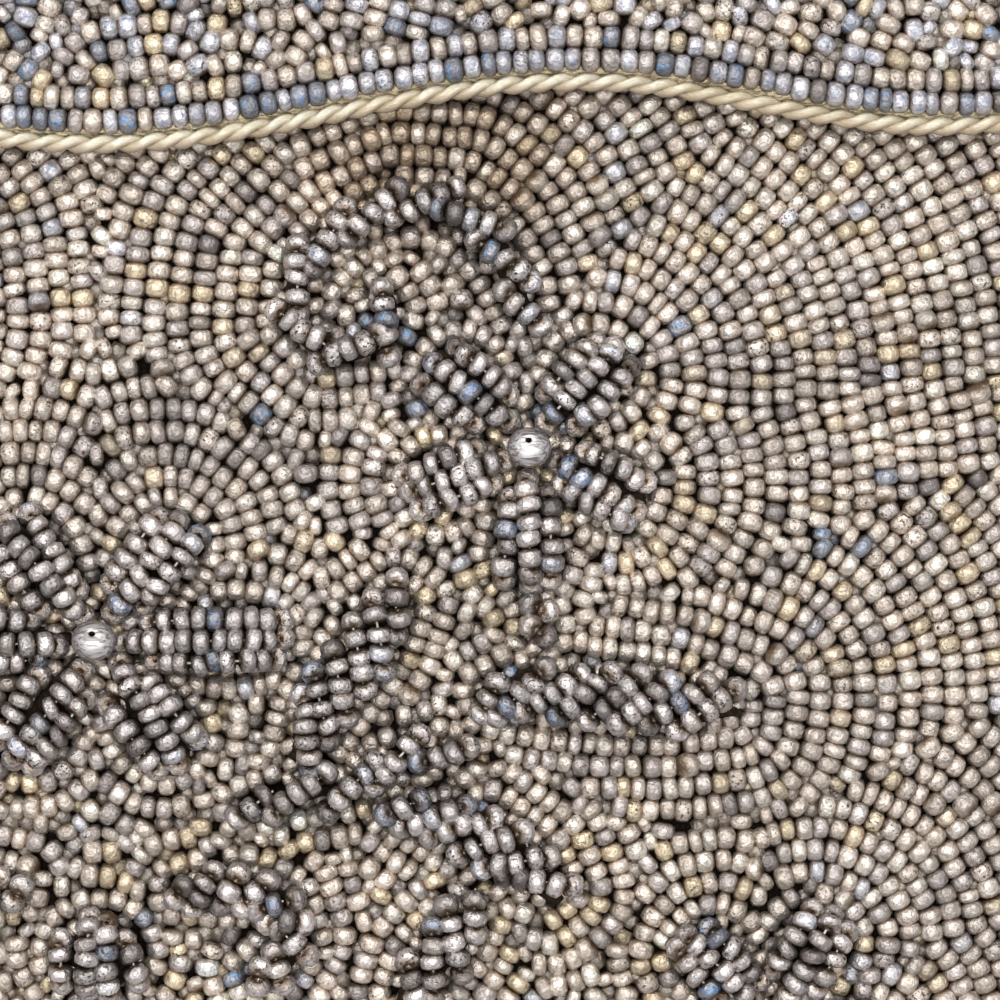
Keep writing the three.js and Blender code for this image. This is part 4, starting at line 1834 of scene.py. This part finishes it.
def runs(line: Array, kept: Array) -> Iterator[Array]:
    """Cuts a line into the parts that are kept.

    Args:
        line: The points of the line.
        kept: Which of them are kept.

    Yields:
        The points of each unbroken part.
    """
    cuts = np.flatnonzero(np.diff(kept.astype(int))) + 1
    for part, keep in zip(np.split(line, cuts), np.split(kept, cuts)):
        if keep[0] and len(part) > 3:
            yield part


@dataclass
class Flap:
    """The cloth that turns over the fold and lies on the front, stippled with beads."""

    face: Surface
    front: Surface
    seed: int = 17
    step: float = 0.0004
    first_row: float = 0.00204
    hidden_depth: float = 0.0004
    fold_reach: float = 0.0087
    fold_rows: int = 11
    cloth_edge: float = 0.0019

    def build(self) -> None:
        """Beads the flap and its fold, and dresses them."""
        chance = np.random.default_rng(self.seed)
        bed = Bed()
        hem_beads = 0
        for row in range(2):
            bed.thread(OUTLINE.hem_line(self.first_row + row * ROW_PITCH), chance, 0.7)
            hem_beads = hem_beads or len(bed.places)
        settled = self.stipple(bed, chance)
        rows = np.array(bed.places)
        places, count = rows[:, :2], len(rows)
        ups = self.face.normals(places)
        ways = np.column_stack([rows[:, 2:4], chance.normal(0, 0.08, count)])
        tints = FLAP_COLOURS.tints(places, chance)
        tints[:hem_beads] = HEM_COLOURS.tints(places[:hem_beads], chance)
        # painted shade: the half-hidden beads are darkened
        tints[settled:, :3] *= HIDDEN_PAINTED_SHADE
        beads = Beads()
        sunk = chance.normal(0, 0.00009, count) - 0.5 * BEAD_WIDTH
        sunk[settled:] -= self.hidden_depth
        beads.add(self.face.points(places) + ups * sunk[:, None], ways, ups, rows[:, 4:6], tints)
        beads, under = beads.parted(np.arange(count) < settled)
        near, far = beads.split(in_view)
        self.turn_over(far, chance)
        show(near.joined("flap_beads", FORMS[Detail.NEAR].model(), GROUND_BEADS),
             "beaded_cloth", "flap")
        for name, part in (("flap_beads_beyond", far), ("flap_beads_under", under)):
            show(part.joined(name, FORMS[Detail.FAR].model(), GROUND_BEADS), "beaded_cloth")
        self.cloth()

    def stipple(self, bed: Bed, chance: np.random.Generator) -> int:
        """Fills the flap with short swirling rows that run every way.

        Args:
            bed: The bed to fill.
            chance: Places the swirls.

        Returns:
            How many places are taken before the last beads, which lie half hidden.
        """
        low = np.array([-OUTLINE.half, 0.02])
        high = np.array([OUTLINE.half, OUTLINE.fold])
        counts = ((high - low) / self.step).astype(int) + 2
        plan = Contours(low, self.step, np.full(counts[::-1], 1.0))
        points = plan.points()
        for x in np.arange(-OUTLINE.half, OUTLINE.half, 0.0085):
            for y in np.arange(low[1], high[1], 0.0085):
                middle = np.array([x, y]) + chance.uniform(-0.0035, 0.0035, 2)
                turn, half = chance.uniform(0, math.pi), chance.uniform(0.0005, 0.003)
                way = np.array([math.cos(turn), math.sin(turn)])
                near = ((points - middle) @ way).clip(-half, half)
                gap = np.linalg.norm(points - middle - near[..., None] * way, axis=-1)
                plan.heights = np.minimum(plan.heights, gap)
        for row in range(6):
            for line in plan.lines((row + 0.5) * ROW_PITCH * 0.97):
                for part in runs(line, self.open(line)):
                    bed.thread(part, chance, 0.71)
        bed.fill(plan, self.open, chance, snug=0.71)
        settled = len(bed.places)
        bed.fill(plan, self.open, chance, snug=0.58)
        return settled

    def open(self, places: Array) -> Array:
        """Says which places the swirling rows cover."""
        above = OUTLINE.hem(places[:, 0]) + self.first_row + 1.45 * ROW_PITCH
        inner = np.abs(places[:, 0]) < OUTLINE.half - 0.001
        return (places[:, 1] > above) & (places[:, 1] < OUTLINE.fold) & inner

    def turn_over(self, beads: Beads, chance: np.random.Generator) -> None:
        """Adds the rows that go round the fold.

        Args:
            beads: The beads to add them to.
            chance: Makes them uneven.
        """
        x = np.arange(-OUTLINE.half + 0.001, OUTLINE.half - 0.0006, BEAD_LENGTH * 1.02)
        for row in range(self.fold_rows):
            across = x + chance.normal(0, 0.0001, len(x)) + 0.0007 * (row % 2)
            across = across.clip(-OUTLINE.half + 0.0009, OUTLINE.half - 0.0009)
            angle = math.pi * (0.5 - (row + 0.5) / self.fold_rows)
            middles, ups = self.round_fold(across, np.full(len(x), angle), 0.5 * BEAD_WIDTH)
            ways = np.column_stack([np.ones(len(x)), chance.normal(0, 0.06, (len(x), 2))])
            beads.add(middles, ways, ups, sized(len(x), chance),
                      FLAP_COLOURS.tints(middles, chance))

    def round_fold(self, x: Array, angle: Array, depth: float) -> tuple[Array, Array]:
        """Finds points on the fold.

        Args:
            x: Their places across the purse.
            angle: How far round the fold they are, from a quarter turn down to minus one.
            depth: How far under the outer face they lie.

        Returns:
            The points and the directions out of the fold.
        """
        top = self.face.at(np.column_stack([x, np.full(len(x), OUTLINE.fold - 0.0005)]))
        out = np.column_stack([np.zeros(len(x)), np.cos(angle) / self.fold_reach,
                               np.sin(angle) / (top / 2)])
        points = np.column_stack([
            x, OUTLINE.fold + (self.fold_reach - depth) * np.cos(angle),
            top / 2 + (top / 2 - depth) * np.sin(angle)])
        return points, unit(out)

    def cloth(self) -> None:
        """Makes the cloth under the flap's beads, from the back's edge to the cord."""
        x = np.linspace(-OUTLINE.half + 0.0003, OUTLINE.half - 0.0003, 87)
        slope = self.cloth_edge
        faces = []
        for depth in (CLOTH_DEPTH, CLOTH_DEPTH + CLOTH_THICKNESS):
            columns = []
            for across in x:
                turn = np.linspace(-math.pi / 2, math.pi / 2, 15)
                bend = self.round_fold(np.full(15, across), turn, depth)[0]
                edge = OUTLINE.hem(np.array([across]))[0] + slope
                y = np.linspace(OUTLINE.fold, edge, 14)[1:]
                plan = np.column_stack([np.full(13, across), y])
                columns.append(np.vstack([bend, self.face.points(plan, -depth)]))
            faces.append(np.vstack(columns))
        piece = mesh_piece("flap_cloth", np.vstack(faces), slab_faces(len(x), 28), CLOTH)
        show(piece, "beaded_cloth")


@dataclass
class FlapTrim:
    """The two-ply satin cord along the flap's edge and the gold tape behind it."""

    face: Surface
    ply_radius: float = 0.00049
    helix_radius: float = 0.00038
    lead: float = 0.0046
    sides: int = 10
    step: float = 0.00042
    rise: float = 0.0014

    def build(self) -> None:
        """Makes and dresses the cord and the tape."""
        show(self.cord(), "cord", "flap_cord")
        show(self.tape(), "tape", "flap_tape")

    def cord(self) -> bpy.types.Object:
        """Twists two plies along the flap's edge.

        Returns:
            The cord.
        """
        middle = OUTLINE.hem_line(0, 0.0004)
        reach = length_of(middle)
        places = np.arange(0, reach, self.step)
        line = self.face.points(along_line(middle, places), self.rise)
        way = unit(np.gradient(line, axis=0))
        side = unit(np.cross([0.0, 0.0, 1.0], way))
        top = np.cross(way, side)
        points, faces, maps, ply_shade = [], [], [], []
        for ply in (0, 1):
            wander = 0.12 * Drift(3 + ply, 0.02).at(line)
            angle = 2 * math.pi * places / self.lead + ply * math.pi + wander
            centre = line + self.helix_radius * (np.sin(angle)[:, None] * side
                                                 + np.cos(angle)[:, None] * top)
            width = self.ply_radius * (1 + 0.05 * Drift(8 + ply, 0.004).at(line))
            first = len(points) * len(line) * self.sides
            points.append(tube_points(centre, width, self.sides))
            out = (points[-1].reshape(len(line), -1, 3) - line[:, None, :]).reshape(-1, 3)
            # painted shade: the share grows as a ply's side turns away from the light above
            lit = out @ [-0.25, 0.68, 0.69] / (self.helix_radius + self.ply_radius)
            ply_shade.append((0.97 - 1.22 * lit).clip(0, 0.85))
            faces.extend(tube_faces(len(line), self.sides, first))
            maps.append(self.ply_map(places))
        cord = mesh_piece("flap_cord_plies", np.vstack(points), faces, CORD)
        layer = cord.data.uv_layers.new(name="ply")
        layer.data.foreach_set("uv", np.vstack(maps).astype(np.float32).ravel())
        ply_shade_layer = cord.data.attributes.new("ply_shade", "FLOAT", "POINT")
        ply_shade_layer.data.foreach_set("value", np.concatenate(ply_shade).astype(np.float32))
        return cord

    def ply_map(self, places: Array) -> Array:
        """Maps a ply: how far round it, and how far along in centimetres.

        Args:
            places: The distance along of each ring.

        Returns:
            The map of every face corner in order.
        """
        round_share = np.arange(self.sides) / self.sides
        along = 100 * places
        maps = []
        for first, second in zip(along, along[1:]):
            near, far = round_share, round_share + 1 / self.sides
            maps.append(np.stack([np.column_stack([near + first, np.full_like(near, first)]),
                                  np.column_stack([far + first, np.full_like(near, first)]),
                                  np.column_stack([far + second, np.full_like(near, second)]),
                                  np.column_stack([near + second, np.full_like(near, second)])],
                                 1).reshape(-1, 2))
        caps = np.column_stack([np.tile(round_share, 2), np.repeat(along[[0, -1]], self.sides)])
        return np.vstack([*maps, caps])

    def tape(self) -> bpy.types.Object:
        """Makes the narrow tape between the cord and the flap's first row of beads.

        Returns:
            The tape, as a thin rumpled strip.
        """
        profile = ((0.0004, 0.0008), (0.0009, 0.0013), (0.0014, 0.0017), (0.0021, 0.0015))
        chance = np.random.default_rng(23)
        lines = []
        for rise, height in profile:
            plan = OUTLINE.hem_line(rise, 0.0006)
            crumple = 0.00009 * Drift(int(rise * 1e5), 0.003).at(plan)
            lines.append(self.face.points(plan, height + crumple
                                          + chance.normal(0, 0.00002, len(plan))))
        top = np.stack(lines[::-1], 1).reshape(-1, 3)
        under = top - [0, 0, 0.00025]
        return mesh_piece("flap_tape_strip", np.vstack([top, under]),
                          slab_faces(len(lines[0]), len(profile)), TAPE)


@dataclass
class BackPanel:
    """The flat back: straight rows of beads on cloth, with a beaded seam round the edge."""

    seed: int = 19
    top: float = 0.066
    pitch: float = 0.00209
    seam_height: float = 0.00295

    def build(self) -> None:
        """Beads the back and its seam, and dresses them."""
        chance = np.random.default_rng(self.seed)
        beads = Beads()
        for y in np.arange(OUTLINE.bottom + 0.001, self.top - 0.0006, self.pitch):
            half = OUTLINE.half_width(np.array([y]))[0] - 0.0007
            x = np.arange(-half, half, BEAD_LENGTH * 1.03)
            count = len(x)
            middles = np.column_stack([
                x + chance.normal(0, 0.00012, count) + 0.0006,
                y + 0.00016 * Drift(2, 0.02).at(np.column_stack([x, np.full(count, y)])),
                0.5 * BEAD_WIDTH + chance.normal(0, 0.00003, count).clip(-0.00003, 0.0001)])
            ways = np.column_stack([np.ones(count), chance.normal(0, 0.06, (count, 2))])
            ups = np.tile([0.0, 0.0, -1.0], (count, 1))
            beads.add(middles, ways, ups, sized(count, chance),
                      GROUND_COLOURS.tints(middles, chance))
        show(beads.joined("back_beads", FORMS[Detail.BACK].model(), GROUND_BEADS),
             "beaded_cloth", "back_panel")
        self.seam(chance)
        self.cloth()

    def seam(self, chance: np.random.Generator) -> None:
        """Runs a row of beads round the seam between back and front.

        Args:
            chance: Makes them uneven.
        """
        line = OUTLINE.edge_line(0.0011, 0.060)
        places = np.arange(0.0005, length_of(line), BEAD_LENGTH * 1.02)
        plan = along_line(line, places)
        ways = along_line(line, places + 0.0005) - along_line(line, places - 0.0005)
        count = len(plan)
        beads = Beads()
        beads.add(np.column_stack([plan, np.full(count, self.seam_height)]),
                  np.column_stack([ways, np.zeros(count)]), np.tile([0.0, 0.0, 1.0], (count, 1)),
                  sized(count, chance), GROUND_COLOURS.tints(plan, chance))
        show(beads.joined("seam_beads", FORMS[Detail.FAR].model(), GROUND_BEADS), "beaded_cloth")

    def cloth(self) -> None:
        """Makes the cloth under the back's beads."""
        turn = np.linspace(0, math.pi / 2, 8)
        rise = OUTLINE.bottom + 0.0004 + OUTLINE.corner * (1 - np.cos(turn))
        rows = np.concatenate([rise, np.linspace(rise[-1], self.top, 24)[1:]])
        share = np.linspace(-1, 1, 41)
        faces = []
        for height in (0.0015 + CLOTH_THICKNESS, 0.0015):
            grid = [np.column_stack([share * (OUTLINE.half_width(np.array([y])) - 0.0004),
                                     np.full(len(share), y), np.full(len(share), height)])
                    for y in rows]
            faces.append(np.vstack(grid))
        piece = mesh_piece("back_cloth", np.vstack(faces), slab_faces(len(rows), len(share)),
                           CLOTH)
        show(piece, "beaded_cloth")


@dataclass
class FlowerBeads:
    """The oval silver bead in the middle of each flower."""

    face: Surface
    across: float = 0.0040
    up: float = 0.0037
    out: float = 0.0032

    def build(self) -> None:
        """Models the bead once and puts a copy in each flower."""
        master = self.model()
        for flower in SIDE_FLOWERS:
            for side, name in ((1, "right"), (-1, "left")):
                self.place(master, flower.middle() * [side, 1], f"{flower.name}_bead_{name}")
        self.place(master, MIDDLE_FLOWER.middle(), "middle_flower_bead")
        bpy.data.objects.remove(master)

    def model(self) -> bpy.types.Object:
        """Models a bead with a narrow hole sunk in its top, its inside dark felt as painted
        shade.

        Returns:
            The bead at the origin, hidden from the render when it is removed.
        """
        bpy.ops.object.select_all(action="DESELECT")
        bpy.ops.mesh.primitive_uv_sphere_add(segments=28, ring_count=18, radius=0.5)
        bead = bpy.context.object
        bpy.ops.object.mode_set(mode="EDIT")
        bpy.ops.mesh.select_mode(type="FACE")
        bpy.ops.mesh.select_all(action="DESELECT")
        shell = bmesh.from_edit_mesh(bead.data)
        for part in shell.faces:
            part.select_set(abs(part.calc_center_median().z) > 0.485)
        bmesh.update_edit_mesh(bead.data)
        bpy.ops.mesh.inset(thickness=0.018, depth=-0.02, use_individual=False)
        bpy.ops.mesh.inset(thickness=0.004, depth=-0.30, use_individual=False)
        bpy.ops.object.mode_set(mode="OBJECT")
        bead.data.materials.append(SILVER.material())
        bead.data.materials.append(FELT.material())
        # painted shade: the faces inside the hole take the dark felt finish
        for part in bead.data.polygons:
            part.material_index = int(part.center.length < 0.44)
        bead.scale = (self.across, self.up, self.out)
        bead.rotation_euler = (math.radians(-24), math.radians(-6), math.radians(-8))
        bpy.ops.object.transform_apply(location=True, rotation=True, scale=True)
        bpy.ops.object.shade_smooth()
        return bead

    def place(self, master: bpy.types.Object, plan: Array, node: str) -> None:
        """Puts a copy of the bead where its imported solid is.

        Args:
            master: The bead to copy.
            plan: Its place on the plan.
            node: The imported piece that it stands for.
        """
        low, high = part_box(node)
        bead = bpy.data.objects.new(f"{node}_silver", master.data.copy())
        bead.data.transform(_shift(plan[0], plan[1], 0.5 * (low.z + high.z)))
        bpy.context.scene.collection.objects.link(bead)
        show(bead, "silver_bead", node)


def _shift(x: float, y: float, z: float) -> Matrix:
    """Gives a move along the three axes."""
    return Matrix.Translation((x, y, z))


@dataclass
class PressStud:
    """The press stud under the flap, on a seat of felt."""

    seat_radius: float = 0.0047
    seat_depth: float = 0.0007

    def build(self) -> None:
        """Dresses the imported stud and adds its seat."""
        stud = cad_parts["press_stud"]
        stud.data.materials.clear()
        stud.data.materials.append(NICKEL.material())
        low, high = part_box("press_stud")
        bpy.ops.object.select_all(action="DESELECT")
        bpy.ops.mesh.primitive_cylinder_add(
            vertices=32, radius=self.seat_radius, depth=self.seat_depth,
            location=(0.5 * (low.x + high.x), 0.5 * (low.y + high.y),
                      low.z - 0.5 * self.seat_depth))
        seat = bpy.context.object
        seat.name = "press_stud_seat"
        bpy.ops.object.mode_set(mode="EDIT")
        bpy.ops.mesh.select_all(action="SELECT")
        bpy.ops.mesh.bevel(offset=0.0002, segments=2)
        bpy.ops.object.mode_set(mode="OBJECT")
        bpy.ops.object.transform_apply(location=True, rotation=True, scale=True)
        seat.data.materials.append(FELT.material())
        show(seat, "beaded_cloth")


@dataclass
class Studio:
    """The paper under the purse, the lights and the camera straight above."""

    floor_size: float = 3.0
    key_size: float = 1.9
    key_power: float = 15.4
    core_size: float = 0.40
    core_power: float = 0.8

    def camera(self) -> None:
        """Hangs the camera over the part of the front that the photograph shows."""
        data = bpy.data.cameras.new("camera")
        data.sensor_width = SENSOR
        data.lens = SENSOR * CAMERA_HEIGHT / VIEW_SIZE
        camera = bpy.data.objects.new("camera", data)
        camera.location = (*VIEW_MIDDLE, CAMERA_HEIGHT + 0.012)
        bpy.context.scene.collection.objects.link(camera)
        bpy.context.scene.camera = camera

    def build(self) -> None:
        """Lays the paper and sets the lights."""
        bpy.ops.object.select_all(action="DESELECT")
        bpy.ops.mesh.primitive_grid_add(x_subdivisions=4, y_subdivisions=4,
                                        size=self.floor_size, location=(0, 0, 0))
        floor = bpy.context.object
        floor.name = "paper"
        floor.data.materials.append(PAPER.material())
        floor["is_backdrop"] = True
        self.light("key", (-0.05, 0.20, 0.85), self.key_size, self.key_power)
        self.light("core", (-0.08, 0.22, 0.72), self.core_size, self.core_power)
        world = bpy.data.worlds.new("studio")
        world.use_nodes = True
        air = world.node_tree.nodes["Background"]
        air.inputs["Color"].default_value = (0.95, 0.96, 1.0, 1.0)
        air.inputs["Strength"].default_value = 0.63
        bpy.context.scene.world = world
        bpy.context.scene.view_settings.view_transform = "Standard"

    @staticmethod
    def light(name: str, place: tuple[float, float, float], size: float, power: float) -> None:
        """Hangs a soft square light that faces the purse.

        Args:
            name: The light's name.
            place: Where it hangs.
            size: The length of its side.
            power: How strong it is, in watts.
        """
        data = bpy.data.lights.new(name, "AREA")
        data.shape = "SQUARE"
        data.size = size
        data.energy = power
        light = bpy.data.objects.new(name, data)
        light.location = place
        aim = Vector((VIEW_MIDDLE[0], VIEW_MIDDLE[1], 0.01)) - light.location
        light.rotation_euler = aim.to_track_quat("-Z", "Y").to_euler()
        bpy.context.scene.collection.objects.link(light)


def main() -> None:
    """Builds the studio and the purse, piece by piece."""
    logging.basicConfig(level=logging.INFO, format="%(name)s %(message)s")
    sizes = {"cad": [list(corner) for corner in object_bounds()]}
    studio = Studio()
    studio.camera()
    front = Surface("front_panel")
    flap = Surface("flap")
    raised = tuple(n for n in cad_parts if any(
        key in n for key in ("petal", "leaf", "scroll", "tendril", "hook", "stem", "bud",
                             "flower_bead")))
    LOG.info("faces measured")
    BackPanel().build()
    raised_work = RaisedWork(front)
    raised_work.build()
    FrontPanel(front, raised, raised_work.beads).build()
    Flap(flap, front).build()
    FlapTrim(front).build()
    FlowerBeads(front).build()
    PressStud().build()
    studio.build()
    sizes["visual"] = [list(corner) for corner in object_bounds()]


if __name__ == "__main__":
    main()
